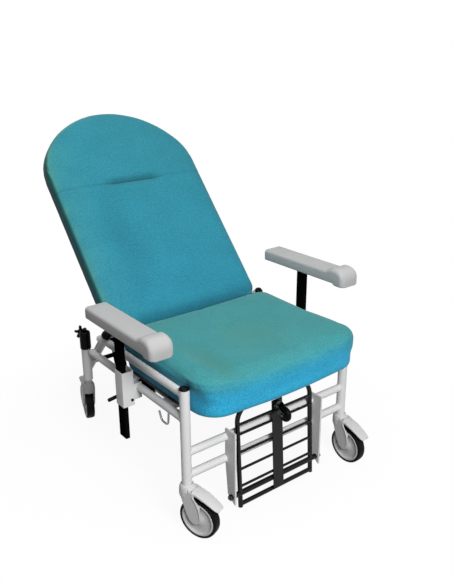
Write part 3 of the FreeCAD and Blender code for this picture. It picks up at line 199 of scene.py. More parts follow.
def group_tree(name, inputs, outputs):
    """Empty shader group with named sockets, then its inner input sockets and its output node."""
    tree = bpy.data.node_groups.new(name, "ShaderNodeTree")
    for label, default in inputs:
        socket = tree.interface.new_socket(label, in_out="INPUT", socket_type="NodeSocketFloat")
        socket.default_value = default
    for label in outputs:
        tree.interface.new_socket(label, in_out="OUTPUT", socket_type="NodeSocketFloat")
    return tree, tree.nodes.new("NodeGroupInput").outputs, tree.nodes.new("NodeGroupOutput")


def calculate(tree, operation, first, second=0.0, clamp=False):
    """Output of a Math node."""
    made = add_node(tree, "ShaderNodeMath", {0: first, 1: second}, operation=operation, use_clamp=clamp)
    return made.outputs[0]


def spread(tree, value, low, high, to_low=0.0, to_high=1.0):
    """Value moved from one range to another, smoothly and within its ends."""
    ends = {"Value": value, "From Min": low, "From Max": high, "To Min": to_low, "To Max": to_high}
    return add_node(tree, "ShaderNodeMapRange", ends, interpolation_type="SMOOTHSTEP").outputs["Result"]


def own_place(tree):
    """The piece's own coordinates."""
    return add_node(tree, "ShaderNodeTexCoord").outputs["Object"]


def surface_noise(tree, scale, detail=3.0, roughness=0.55):
    """Noise on the piece's own coordinates."""
    inputs = {"Vector": own_place(tree), "Scale": scale, "Detail": detail, "Roughness": roughness}
    return add_node(tree, "ShaderNodeTexNoise", inputs).outputs["Fac"]


def weave_group():
    """Knotted yarn with a mottled dye: height of the cloth, shade of its yarns and slow patches."""
    inputs = [("Yarns per metre", 620.0), ("Mottle per metre", 260.0), ("Patch per metre", 9.0)]
    tree, start, end = group_tree("Cloth weave", inputs, ["Height", "Shade", "Patch"])
    scaled = add_node(tree, "ShaderNodeVectorMath", {0: own_place(tree), "Scale": start["Yarns per metre"]},
                      operation="SCALE")
    knit = add_node(tree, "ShaderNodeTexVoronoi", {"Vector": scaled.outputs[0], "Scale": 1.0},
                    feature="SMOOTH_F1")
    mottle = surface_noise(tree, start["Mottle per metre"], 2.0, 0.7)
    patch = surface_noise(tree, start["Patch per metre"], 2.0, 0.5)
    knots = calculate(tree, "SUBTRACT", 1.0, knit.outputs["Distance"])
    plug(tree, end, {"Height": calculate(tree, "ADD", knots, mottle), "Shade": spread(tree, mottle, 0.3, 0.7),
                     "Patch": spread(tree, patch, 0.35, 0.65)})


def grain_group():
    """Fine skin of paint or moulded plastic: a height and a slow stain."""
    inputs = [("Grain per metre", 900.0), ("Stain per metre", 14.0)]
    tree, start, end = group_tree("Fine grain", inputs, ["Height", "Stain"])
    stain = surface_noise(tree, start["Stain per metre"], 5.0, 0.62)
    plug(tree, end, {"Height": surface_noise(tree, start["Grain per metre"], 2.0, 0.5),
                     "Stain": spread(tree, stain, 0.38, 0.72)})


def wear_group():
    """Mask of rubbed edges, broken up by noise."""
    tree, start, end = group_tree("Edge wear", [("Amount", 0.5), ("Chips per metre", 120.0)], ["Mask"])
    edge = add_node(tree, "ShaderNodeNewGeometry").outputs["Pointiness"]
    chips = surface_noise(tree, start["Chips per metre"], 6.0, 0.7)
    broken = calculate(tree, "MULTIPLY", spread(tree, edge, 0.54, 0.66), spread(tree, chips, 0.42, 0.62))
    plug(tree, end, {"Mask": calculate(tree, "MULTIPLY", broken, start["Amount"], True)})


def dust_group():
    """Mask of dust that settles on faces that look up, and of scuffs everywhere."""
    tree, start, end = group_tree("Dust", [("Amount", 0.3), ("Specks per metre", 45.0)], ["Mask"])
    normal = add_node(tree, "ShaderNodeNewGeometry").outputs["Normal"]
    upward = add_node(tree, "ShaderNodeSeparateXYZ", {0: normal}).outputs["Z"]
    specks = surface_noise(tree, start["Specks per metre"], 7.0, 0.72)
    lying = spread(tree, upward, -0.6, 1.0, 0.25, 1.0)
    spotty = calculate(tree, "MULTIPLY", lying, spread(tree, specks, 0.4, 0.75))
    plug(tree, end, {"Mask": calculate(tree, "MULTIPLY", spotty, start["Amount"], True)})


def use_group(tree, name, **values):
    """A shader group placed in a material with its own values."""
    made = add_node(tree, "ShaderNodeGroup", node_tree=bpy.data.node_groups[name])
    for label, value in values.items():
        made.inputs[label.replace("_", " ")].default_value = value
    return made.outputs


# Materials
def new_material(name):
    """Material with an empty Principled shader."""
    material = bpy.data.materials.new(name)
    material.use_nodes = True
    shader = material.node_tree.nodes["Principled BSDF"]
    return material, material.node_tree, shader


def mix_colour(tree, mask, first, second):
    """Output of a colour mix; a colour is a socket or three values."""
    pair = [c if isinstance(c, bpy.types.NodeSocket) else (*c, 1.0) for c in (first, second)]
    return add_node(tree, "ShaderNodeMix", {0: mask, 6: pair[0], 7: pair[1]}, data_type="RGBA").outputs[2]


def add_bump(tree, shader, height, strength, distance):
    """Relief on the shader's normal."""
    bump = add_node(tree, "ShaderNodeBump", {"Strength": strength, "Distance": distance, "Height": height})
    tree.links.new(bump.outputs["Normal"], shader.inputs["Normal"])


def tint(colour, factor):
    """Colour made darker or lighter."""
    return tuple(min(channel * factor, 1.0) for channel in colour)


def reshade(tree, colour, **values):
    """Colour with its hue, saturation or value changed."""
    return add_node(tree, "ShaderNodeHueSaturation", {"Color": colour, **values}).outputs[0]


def painted_mask(tree, name):
    """Mask that a cover's points carry."""
    return add_node(tree, "ShaderNodeAttribute", attribute_name=name).outputs["Fac"]


# Point masks on a cover: painted shade, and rubbed wear together with painted light
PAINTED_SHADE_MASK = "seam"
WEAR_AND_PAINTED_LIGHT_MASK = "worn"


def cloth_material(name, colour, faded, fade_low, fade_high, rubbed):
    """Dense mottled upholstery: faded above a height; rubbed wear together with painted light where its
    wear-and-light mask is marked; near-black painted shade where its shade mask is marked.
    """
    material, tree, shader = new_material(name)
    weave = use_group(tree, "Cloth weave")
    height = add_node(tree, "ShaderNodeSeparateXYZ", {0: own_place(tree)}).outputs["Z"]
    ragged = calculate(tree, "MULTIPLY_ADD", surface_noise(tree, 7.0), 0.012)
    tree.links.new(height, ragged.node.inputs[2])
    dye = mix_colour(tree, spread(tree, ragged, fade_low, fade_high), colour, faded)
    blotch = spread(tree, weave["Patch"], 0.0, 1.0, 0.55, 1.0)
    # Wear-and-light tone: rubbed wear, painted shade in the seat's hollow and fold, painted sheen on the back's
    # edges
    dye = mix_colour(tree, calculate(tree, "MULTIPLY", painted_mask(tree, WEAR_AND_PAINTED_LIGHT_MASK), blotch), dye, rubbed)
    darker = reshade(tree, dye, Value=0.85, Saturation=1.04)
    lighter = reshade(tree, dye, Value=1.13, Saturation=0.96)
    yarn = mix_colour(tree, weave["Shade"], darker, lighter)
    cloudy = mix_colour(tree, weave["Patch"], reshade(tree, yarn, Value=0.94), yarn)
    # Near-black painted shade for seams, creases, hollows, the foot and the side faces
    shaded = reshade(tree, cloudy, Hue=0.515, Value=0.16, Saturation=1.4)
    plug(tree, shader, {
        "Base Color": mix_colour(tree, painted_mask(tree, PAINTED_SHADE_MASK), cloudy, shaded),
        "Roughness": spread(tree, weave["Shade"], 0.0, 1.0, 0.78, 0.94),
        "Sheen Weight": 0.18, "Sheen Roughness": 0.45, "Sheen Tint": (*srgb(196, 214, 190), 1.0),
        "Specular IOR Level": 0.2})
    add_bump(tree, shader, weave["Height"], 0.5, 0.0006)
    return material


DUST_COLOUR = srgb(150, 147, 140)
WORN_BLACK = srgb(70, 70, 70)
WORN_BOARD = srgb(92, 80, 66)


def coated_material(name, colour, rough, grain, bump, dust, wear=0.0, bare=WORN_BLACK, stain=0.97, shine=0.5):
    """Painted or moulded surface: fine grain, slow stains, rubbed edges and dust."""
    material, tree, shader = new_material(name)
    skin = use_group(tree, "Fine grain", Grain_per_metre=grain)
    stained = mix_colour(tree, skin["Stain"], colour, tint(colour, stain))
    worn = mix_colour(tree, use_group(tree, "Edge wear", Amount=wear)["Mask"], stained, bare)
    dusty = mix_colour(tree, use_group(tree, "Dust", Amount=dust)["Mask"], worn, DUST_COLOUR)
    plug(tree, shader, {"Base Color": dusty, "Roughness": spread(tree, skin["Stain"], 0.0, 1.0, *rough),
                        "Specular IOR Level": shine})
    add_bump(tree, shader, skin["Height"], 0.35, bump)
    return material


def metal_material(name, colour, rough):
    """Plated steel with a cloudy, finely scratched surface."""
    material, tree, shader = new_material(name)
    skin = use_group(tree, "Fine grain", Grain_per_metre=1600.0, Stain_per_metre=60.0)
    plug(tree, shader, {"Base Color": mix_colour(tree, skin["Stain"], colour, tint(colour, 0.72)),
                        "Roughness": spread(tree, skin["Stain"], 0.0, 1.0, *rough), "Metallic": 1.0})
    add_bump(tree, shader, skin["Height"], 0.2, 0.00005)
    return material


MATERIALS = {}
BOARD_COLOUR = srgb(30, 30, 31)
BACK_FADE = (0.55, 1.05)
SEAT_FADE = (SEAT_HIGH.z - 0.062, SEAT_HIGH.z - 0.004)


def make_materials():
    """Every finish of the chair, by name."""
    for build in (weave_group, grain_group, wear_group, dust_group):
        build()
    hue = {key: tuple(getattr(colours(), key)) for key in ChairColours.__annotations__}
    black = hue["black_paint"]
    # Label, colour, ends of the roughness, grains per metre, relief, dust, and what differs from the usual
    coats = {
        "frame_paint": ("Frame paint", hue["frame_paint"], (0.30, 0.38), 1100.0, 0.00003, 0.015,
                        {"shine": 0.08}),
        "black_paint": ("Black paint", black, (0.2, 0.3), 1200.0, 0.00003, 0.002, {"shine": 0.0}),
        "black_gloss": ("Black gloss", black, (0.14, 0.22), 1200.0, 0.00003, 0.002, {"shine": 0.2}),
        "black_plastic": ("Black plastic", tint(black, 0.8), (0.3, 0.42), 1800.0, 0.00006, 0.003,
                          {"wear": 0.1, "shine": 0.05}),
        "board": ("Coated board", BOARD_COLOUR, (0.55, 0.68), 700.0, 0.0002, 0.010,
                  {"wear": 0.1, "bare": WORN_BOARD, "stain": 0.9, "shine": 0.2}),
        "pad_skin": ("Armrest skin", hue["pad_skin"], (0.5, 0.6), 1500.0, 0.00008, 0.012, {"shine": 0.08}),
        "castor_shell": ("Castor shell", hue["castor_shell"], (0.36, 0.48), 1700.0, 0.00005, 0.02,
                         {"shine": 0.08}),
        "rubber": ("Tyre rubber", hue["rubber"], (0.5, 0.66), 900.0, 0.0001, 0.006,
                   {"wear": 0.1, "stain": 0.9, "shine": 0.06}),
        "white_cap": ("White cap", hue["cap_white"], (0.2, 0.3), 1500.0, 0.00003, 0.01, {}),
        "thread": ("Sewing thread", hue["thread"], (0.7, 0.85), 4000.0, 0.0002, 0.0, {}),
    }
    MATERIALS["back_cloth"] = cloth_material("Back cloth", hue["back_cloth"], hue["back_faded"], *BACK_FADE,
                                             hue["back_rubbed"])
    MATERIALS["seat_cloth"] = cloth_material("Seat cloth", hue["seat_cloth"], hue["seat_faded"], *SEAT_FADE,
                                             hue["seat_rubbed"])
    for key, (label, colour, rough, grain, bump, dust, extra) in coats.items():
        MATERIALS[key] = coated_material(label, colour, rough, grain, bump, dust, **extra)
    MATERIALS["zinc"] = metal_material("Zinc", hue["zinc"], (0.24, 0.42))
    # Plated steel darkened to a quarter of the zinc: a painted dark reflection of dark surroundings
    MATERIALS["dark_steel"] = metal_material("Dark steel", tint(hue["zinc"], 0.25), (0.16, 0.28))


# Shapes
def round_off(bm, geom, radius, segments, kind="EDGES"):
    """Round edges or corners."""
    bmesh.ops.bevel(bm, geom=geom, offset=radius, affect=kind, segments=segments, profile=0.5, material=-1)


def raise_faces(bm, faces, way):
    """Extrude faces by a step, keeping those they came from; the raised faces."""
    raised = bmesh.ops.extrude_face_region(bm, geom=faces, use_keep_orig=True)["geom"]
    bmesh.ops.translate(bm, vec=way, verts=[g for g in raised if isinstance(g, bmesh.types.BMVert)])
    return [g for g in raised if isinstance(g, bmesh.types.BMFace)]


def add_spin(bm, profile, place, steps, closed=False):
    """Turned shape about local Z from points of radius and height."""
    before = set(bm.verts)
    verts = [bm.verts.new((radius, 0, height)) for radius, height in profile]
    ends = zip(verts, verts[1:] + verts[:1]) if closed else zip(verts, verts[1:])
    edges = [bm.edges.new(pair) for pair in ends]
    bmesh.ops.spin(bm, geom=verts + edges, cent=(0, 0, 0), axis=(0, 0, 1), angle=2 * math.pi, steps=steps,
                   use_merge=True)
    bmesh.ops.remove_doubles(bm, verts=[v for v in bm.verts if v not in before], dist=1e-6)
    bmesh.ops.transform(bm, matrix=place, verts=[v for v in bm.verts if v not in before])


WHEEL_TURN = Matrix.Rotation(math.pi / 2, 4, "Y")


def add_wheel(bm, side, centre, steps):
    """Wheel turned about X from the outline of one of its sides."""
    profile = side + [(radius, -out) for radius, out in reversed(side)]
    add_spin(bm, profile, Matrix.Translation(centre) @ WHEEL_TURN, steps, closed=True)


def add_box(bm, low, high, edge):
    """Box between two corners with rounded edges."""
    low = Vector(low)
    high = Vector(high)
    made = bmesh.ops.create_cube(bm, size=1.0)["verts"]
    bmesh.ops.scale(bm, vec=high - low, verts=made)
    bmesh.ops.translate(bm, vec=(low + high) / 2, verts=made)
    round_off(bm, list({e for v in made for e in v.link_edges}), edge, 3)


def add_plate(bm, corners, way, radius, edge):
    """Flat plate from corner points, its corners and then its rims rounded."""
    before = set(bm.faces)
    verts = [bm.verts.new(corner) for corner in corners]
    bm.faces.new(verts)
    if radius > 0:
        round_off(bm, verts, radius, 6, "VERTICES")
    bottom = next(f for f in bm.faces if f not in before)
    top = raise_faces(bm, [bottom], way)[0]
    if edge > 0:
        round_off(bm, list(bottom.edges) + list(top.edges), edge, 4)


def turn_to(way):
    """Turn from +Z to another way."""
    return Vector((0, 0, 1)).rotation_difference(way).to_matrix().to_4x4()


def add_rod(bm, start, end, radius, edge=0.0, segments=28):
    """Round bar with softened ends."""
    start = Vector(start)
    end = Vector(end)
    way = end - start
    place = Matrix.Translation((start + end) / 2) @ turn_to(way)
    made = bmesh.ops.create_cone(bm, cap_ends=True, segments=segments, radius1=radius, radius2=radius,
                                 depth=way.length, matrix=place)["verts"]
    if edge > 0:
        rims = [e for e in {e for v in made for e in v.link_edges} if len(e.link_faces) == 2
                and any(len(f.verts) > 4 for f in e.link_faces)]
        round_off(bm, rims, edge, 3)


def add_hex(bm, centre, way, across, height):
    """Hexagon bolt head or nut with a softened rim."""
    end = Vector(centre) + Vector(way).normalized() * height
    add_rod(bm, centre, end, across / math.sqrt(3), height * 0.12, 6)


def add_curve(bm, points, radius, cyclic=False, swell=None):
    """Round wire along points; swell gives each point's share of the radius."""
    curve = bpy.data.curves.new("wire", "CURVE")
    curve.dimensions = "3D"
    curve.bevel_depth = radius
    curve.bevel_resolution = 3
    curve.resolution_u = 6
    curve.use_fill_caps = not cyclic
    spline = curve.splines.new("NURBS")
    spline.points.add(len(points) - 1)
    for i, point in enumerate(points):
        spline.points[i].co = (*point, 1.0)
        spline.points[i].radius = swell[i] if swell else 1.0
    spline.order_u = 3
    spline.use_endpoint_u = not cyclic
    spline.use_cyclic_u = cyclic
    holder = bpy.data.objects.new("wire", curve)
    mesh = bpy.data.meshes.new_from_object(holder)
    bm.from_mesh(mesh)
    bpy.data.objects.remove(holder)
    bpy.data.curves.remove(curve)
    bpy.data.meshes.remove(mesh)


def add_loft(bm, rings):
    """Skin through rings of points, closed at both ends."""
    loops = [[bm.verts.new(point) for point in ring] for ring in rings]
    for first, second in zip(loops, loops[1:]):
        for i, vertex in enumerate(first):
            j = (i + 1) % len(first)
            bm.faces.new((vertex, first[j], second[j], second[i]))
    bm.faces.new(loops[0])
    bm.faces.new(loops[-1])


def ease(value, low, high):
    """Smooth step from 0 to 1."""
    share = min(max((value - low) / (high - low), 0.0), 1.0)
    return share * share * (3 - 2 * share)


def rounding(run, radius):
    """Height share of a quarter round at a distance from its start."""
    share = 1 - min(run / radius, 1.0)
    return math.sqrt(1 - share * share)


def follow(line, where):
    """Value of a chain of points at a place along it."""
    for (start, first), (end, second) in zip(line, line[1:]):
        if where <= end:
            return first + (second - first) * max(where - start, 0.0) / (end - start)
    return line[-1][1]


def link_mesh(bm, name):
    """Closed outward mesh in a new object at the origin."""
    bmesh.ops.remove_doubles(bm, verts=bm.verts, dist=1e-6)
    bmesh.ops.recalc_face_normals(bm, faces=bm.faces)
    mesh = bpy.data.meshes.new(name)
    bm.to_mesh(mesh)
    bm.free()
    piece = bpy.data.objects.new(name, mesh)
    bpy.context.scene.collection.objects.link(piece)
    return piece


def dress(piece, finish, body, stands_for=(), sharp=math.radians(40)):
    """Finish a piece, smooth it and let it ride on its body."""
    piece.data.materials.clear()
    piece.data.materials.append(MATERIALS[finish])
    piece.data.shade_smooth()
    piece.data.set_sharp_from_angle(angle=sharp)
    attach(piece, body)
    if stands_for:
        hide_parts(*stands_for)
    return piece


def bake_modifiers(piece):
    """Make the modified mesh the piece's own."""
    graph = bpy.context.evaluated_depsgraph_get()
    graph.update()
    mesh = bpy.data.meshes.new_from_object(piece.evaluated_get(graph))
    old = piece.data
    piece.modifiers.clear()
    piece.data = mesh
    bpy.data.meshes.remove(old)


def blend_mould(piece, voxel, passes):
    """Blend the shapes in a mesh into one moulded skin."""
    remesh = piece.modifiers.new("Mould", "REMESH")
    remesh.mode = "VOXEL"
    remesh.voxel_size = voxel
    soften = piece.modifiers.new("Soften", "SMOOTH")
    soften.factor = 0.5
    soften.iterations = passes
    bake_modifiers(piece)


def cut_away(piece, cutter):
    """Cut one closed mesh out of another."""
    cut = piece.modifiers.new("Cut", "BOOLEAN")
    cut.operation = "DIFFERENCE"
    cut.solver = "EXACT"
    cut.object = cutter
    bake_modifiers(piece)
    bpy.data.objects.remove(cutter)


# Upholstery
def foam_copy(node, name):
    """Closed copy of a cushion's solid."""
    bm = bmesh.new()
    bm.from_mesh(NODES[node].data)
    return link_mesh(bm, name)


def move_along_normals(piece, amount):
    """Shrink or swell a mesh by a distance."""
    mesh = piece.data
    shift = [v.normal * amount for v in mesh.vertices]
    for vertex, step in zip(mesh.vertices, shift):
        vertex.co += step


def puff(piece, held):
    """Blow a cushion's cover up like foam under cloth; held says which points stay."""
    size = sizes()
    remesh = piece.modifiers.new("Grid", "REMESH")
    remesh.mode = "VOXEL"
    remesh.voxel_size = size.voxel
    bake_modifiers(piece)
    move_along_normals(piece, -size.shrink)
    start = [v.co.copy() for v in piece.data.vertices]
    pins = piece.vertex_groups.new(name="held")
    pins.add([i for i, point in enumerate(start) if held(point)], 1.0, "REPLACE")
    cloth = piece.modifiers.new("Cover", "CLOTH")
    cloth.settings.quality = 4
    cloth.settings.mass = 0.4
    cloth.settings.tension_stiffness = 40
    cloth.settings.compression_stiffness = 40
    cloth.settings.bending_stiffness = 8
    cloth.settings.use_pressure = True
    cloth.settings.uniform_pressure_force = size.pressure
    cloth.settings.effector_weights.gravity = 0.0
    cloth.settings.vertex_group_mass = "held"
    scene = bpy.context.scene
    cloth.point_cache.frame_start = 1
    cloth.point_cache.frame_end = size.puff_frames
    for number in range(1, size.puff_frames + 1):
        scene.frame_set(number)
    bake_modifiers(piece)
    for vertex, origin in zip(piece.data.vertices, start):
        step = vertex.co - origin
        if step.length > size.swell_cap:
            vertex.co = origin + step * (size.swell_cap / step.length)
    scene.frame_set(1)


def refine(piece):
    """One subdivision and a light smoothing."""
    soften = piece.modifiers.new("Soften", "SMOOTH")
    soften.iterations = 5
    finer = piece.modifiers.new("Finer", "SUBSURF")
    finer.levels = 1
    finer.render_levels = 1
    bake_modifiers(piece)


def split_near(piece, place, near):
    """Finer mesh where a seam runs, by each point's local place."""
    local = place.inverted()
    bm = bmesh.new()
    bm.from_mesh(piece.data)
    close = {v for v in bm.verts if near(local @ v.co)}
    edges = [e for e in bm.edges if e.verts[0] in close and e.verts[1] in close]
    bmesh.ops.subdivide_edges(bm, edges=edges, cuts=2, use_grid_fill=True)
    bm.to_mesh(piece.data)
    bm.free()


def draw_in(piece, place, depth_at, painted_shade_at, wear_and_light_at):
    """Press a cover in along its normals by each point's local place, and mark its painted shade, and its wear
    together with painted light.
    """
    local = place.inverted()
    turn = local.to_3x3()
    shift = []
    painted_shade_marks = []
    wear = []
    for vertex in piece.data.vertices:
        spot = local @ vertex.co
        normal = turn @ vertex.normal
        shift.append(vertex.normal * -depth_at(spot, normal))
        painted_shade_marks.append(painted_shade_at(spot, normal))
        # These wear values carry rubbed wear and painted light alike
        wear.append(wear_and_light_at(spot, normal))
    for vertex, step in zip(piece.data.vertices, shift):
        vertex.co += step
    for name, values in ((PAINTED_SHADE_MASK, painted_shade_marks), (WEAR_AND_PAINTED_LIGHT_MASK, wear)):
        mask = piece.data.attributes.new(name, "FLOAT", "POINT")
        mask.data.foreach_set("value", values)


def bell(distance, width):
    """Smooth hump, 1 in its middle."""
    return math.exp(-((distance / width) ** 2))


def lay_stitches(piece, name, rows, body):
    """Rows of thread stitches laid on a cover; a row is its points from outside and the way to look."""
    size = sizes()
    bm = bmesh.new()
    bm.from_mesh(piece.data)
    tree = BVHTree.FromBMesh(bm)
    bm.free()
    thread = bmesh.new()
    for points, way in rows:
        hits = [tree.ray_cast(point, way) for point in points]
        spots = [hit[0] + hit[1] * size.thread_r for hit in hits if hit[0] is not None]
        for first, second in zip(spots[::2], spots[1::2]):
            if (second - first).length < 3 * size.stitch:
                add_rod(thread, first, second, size.thread_r, segments=6)
    stitches = link_mesh(thread, name)
    return dress(stitches, "thread", body)


def spaced(start, end, step):
    """Points from start to end at a spacing."""
    start = Vector(start)
    end = Vector(end)
    count = max(int((end - start).length / step), 1)
    return [start.lerp(end, i / count) for i in range(count + 1)]


def patch(along, up, spot, reach):
    """Smooth round hump about a spot, from two of a point's coordinates."""
    return bell(along - spot[0], reach[0]) * bell(up - spot[1], reach[1])


# Seat cover: its seam, what a sitter has pressed and rubbed, the shade painted in its hollow, fold and sides, and
# the swell of its free corners
SEAT_SIDE = SEAT_HIGH.x
SEAT_SEAM_Z = SEAT_HIGH.z - 0.026
SEAT_SEAM_BAND = 0.010
SEAT_STITCH_OFF = 0.0055
SEAT_STITCH_ENDS = (SEAT_LOW.y + 0.095, SEAT_HIGH.y - 0.06)
FOLD_SPOT = (-0.64 * SEAT_SIDE, SEAT_LOW.y + 0.13)
FOLD_REACH = (0.036, 0.16)
FOLD_DEPTH = 0.0075
SEAT_HOLLOW_SPOT = (-0.06, SEAT_LOW.y + 0.24)
SEAT_HOLLOW_REACH = (0.17, 0.15)
SEAT_HOLLOW_DEPTH = 0.011
SEAT_RUB_SPOT = (0.02, SEAT_LOW.y + 0.22)
SEAT_RUB_REACH = (0.10, 0.11)
BELLY_Z = SEAT_HIGH.z - 0.056
BELLY_HALF = 0.024


class CHAIR_OT_seat_cushion(Operator):
    """Crowned seat cushion with sewn side seams"""
    bl_idname = "chair.seat_cushion"
    bl_label = "Seat Cushion"

    def execute(self, context):
        size = sizes()
        cushion = foam_copy("seat_cushion", "seat_upholstery")
        flat = SEAT_LOW.z + 2 * size.voxel
        puff(cushion, lambda p: p.z < flat)
        refine(cushion)
        split_near(cushion, Matrix.Identity(4), lambda p: abs(p.z - SEAT_SEAM_Z) < SEAT_SEAM_BAND)

        def seam(p, normal):
            left = 1 - ease(p.x, -0.75 * SEAT_SIDE, -0.35 * SEAT_SIDE)
            return left * bell(p.z - SEAT_SEAM_Z, size.crease_width) * (1 - ease(normal.z, 0.8, 0.95))

        def fold(p):
            return patch(p.x, p.y, FOLD_SPOT, FOLD_REACH)

        def belly(p, normal):
            clear = 1 - ease(p.y, POST_Y - 0.075, POST_Y - 0.035)
            return clear * bell(p.z - BELLY_Z, BELLY_HALF) * ease(abs(normal.x), 0.3, 0.8)

        def depth(p, normal):
            hollow = SEAT_HOLLOW_DEPTH * patch(p.x, p.y, SEAT_HOLLOW_SPOT, SEAT_HOLLOW_REACH)
            sunk = ease(normal.z, 0.6, 0.9) * (hollow + FOLD_DEPTH * fold(p))
            return size.crease_depth * seam(p, normal) + sunk - size.belly * belly(p, normal)

        # Painted shade mask: darker in the crease along the left side, in the front-left fold and on the side
        # faces, where shade falls
        def mask(p, normal):
            return 0.04 * seam(p, normal) + 0.08 * fold(p) + 0.34 * ease(abs(normal.x), 0.75, 0.95)

        # Greyer, greener tone on the seat top: rubbed wear in the middle and at the rear, together with painted
        # shade in the hollow and the front-left fold
        def worn(p, normal):
            centre = patch(p.x, p.y, SEAT_RUB_SPOT, SEAT_RUB_REACH)
            rear = ease(p.y, SEAT_HIGH.y - 0.16, SEAT_HIGH.y - 0.03) * (1 - ease(p.x, -0.9 * SEAT_SIDE, 0.0))
            return ease(normal.z, 0.7, 0.95) * min(0.8 * centre + 0.9 * fold(p) + 0.8 * rear, 1.0)

        draw_in(cushion, Matrix.Identity(4), depth, mask, worn)
        dress(cushion, "seat_cloth", "frame", ["seat_cushion"], math.radians(180))
        rows = []
        for sign in SIDES.values():
            for off in (-SEAT_STITCH_OFF, SEAT_STITCH_OFF):
                ends = [(1.2 * sign * SEAT_SIDE, y, SEAT_SEAM_Z + off) for y in SEAT_STITCH_ENDS]
                rows.append((spaced(*ends, size.stitch), Vector((-sign, 0, 0))))
        lay_stitches(cushion, "seat_stitches", rows, "frame")
        return {"FINISHED"}


# Back cover, on the backrest's own axes: its seam across, its valley and its stitches
BACK_SEAM_Z = 0.521
BACK_SEAM_BAND = 0.012
BACK_STITCH_RISE = 0.006
BACK_STITCH_X = 0.285
BACK_HOLLOW_SPOT = (-0.12, 0.27)
BACK_HOLLOW_REACH = (0.060, 0.19)
BACK_HOLLOW_DEPTH = 0.015


class CHAIR_OT_back_cushion(Operator):
    """Backrest cushion with a seam across it and a pull in the seam's middle"""
    bl_idname = "chair.back_cushion"
    bl_label = "Back Cushion"

    def execute(self, context):
        size = sizes()
        cushion = foam_copy("back_cushion", "back_upholstery")
        local = BACK_PLACE.inverted()
        depths = [(local @ v.co).y for v in cushion.data.vertices]
        rear = max(depths)
        front = min(depths)
        puff(cushion, lambda p: (local @ p).y > rear - 2 * size.voxel)
        refine(cushion)
        split_near(cushion, BACK_PLACE, lambda p: abs(p.z - BACK_SEAM_Z) < BACK_SEAM_BAND and p.y < 0)

        def facing(normal):
            return min(max(-normal.y, 0.0), 1.0)

        def hollow(p):
            return patch(p.x, p.z, BACK_HOLLOW_SPOT, BACK_HOLLOW_REACH)

        def tuck(p):
            return 1 - ease(abs(p.x), 0.6 * size.tuck_half, 1.15 * size.tuck_half)

        def depth(p, normal):
            rise = p.z - BACK_SEAM_Z
            groove = size.seam_depth * bell(rise, size.seam_width) * (0.35 + 0.65 * tuck(p))
            pull = size.tuck_depth * tuck(p) * bell(rise - 0.003, size.tuck_width)
            under = min(max((size.roll_top - p.z) / size.roll_height, 0.0), 1.0)
            roll = size.roll_depth * (1 - math.sqrt(1 - under * under))
            return (groove + pull + BACK_HOLLOW_DEPTH * hollow(p) + roll) * facing(normal)

        # Painted shade mask: a dark seam line, a painted shadow under the pull, painted shade at the foot where
        # the back meets the seat and in the valley, and near-black side faces
        def mask(p, normal):
            rise = p.z - BACK_SEAM_Z
            line = bell(rise, size.seam_width) * (0.10 + 0.07 * tuck(p))
            shade = 0.34 * tuck(p) * bell(rise - 0.004, size.tuck_width)
            foot = 0.40 * (1 - ease(p.z, -0.03, 0.05))
            beside = 0.92 * ease(abs(normal.x), 0.60, 0.92)
            return min((line + shade + foot + 0.14 * hollow(p)) * facing(normal) + beside, 1.0)

        # Painted sheen: lighter, greener cloth along the rounded left and top edges, where light grazes them, and
        # over the left third of the front
        def worn(p, normal):
            aside = 1 - facing(normal)
            edge = ease(aside, 0.02, 0.30) * (1 - ease(aside, 0.55, 0.85))
            left = 1 - ease(p.x, -0.30, -0.16)
            outer = max(ease(-normal.x, 0.05, 0.3), 0.6 * ease(normal.z, 0.1, 0.4))
            return min(edge * outer + 0.35 * left * facing(normal), 1.0)

        draw_in(cushion, BACK_PLACE, depth, mask, worn)
        dress(cushion, "back_cloth", "backrest", ["back_cushion"], math.radians(180))
        way = BACK_PLACE.to_3x3() @ Vector((0, 1, 0))
        ends = [BACK_PLACE @ Vector((x, front - 0.1, BACK_SEAM_Z + BACK_STITCH_RISE))
                for x in (-BACK_STITCH_X, BACK_STITCH_X)]
        lay_stitches(cushion, "back_stitches", [(spaced(*ends, size.stitch), way)], "backrest")
        return {"FINISHED"}


# Armrests
PAD_STEP = 0.0125
PAD_LIP = 0.006
PAD_NOSE = 0.036
PAD_NOSE_FOOT = 0.020
PAD_DOME = 0.046
PAD_FLAT = 0.080
PAD_CORNER = 0.015
PAD_REAR = 0.006
PAD_RING_STEPS = 6
PAD_NOSE_STEPS = 18
PAD_SLOPE_STEPS = 16
PAD_FLAT_STEPS = 10
PAD_REAR_STEPS = 8


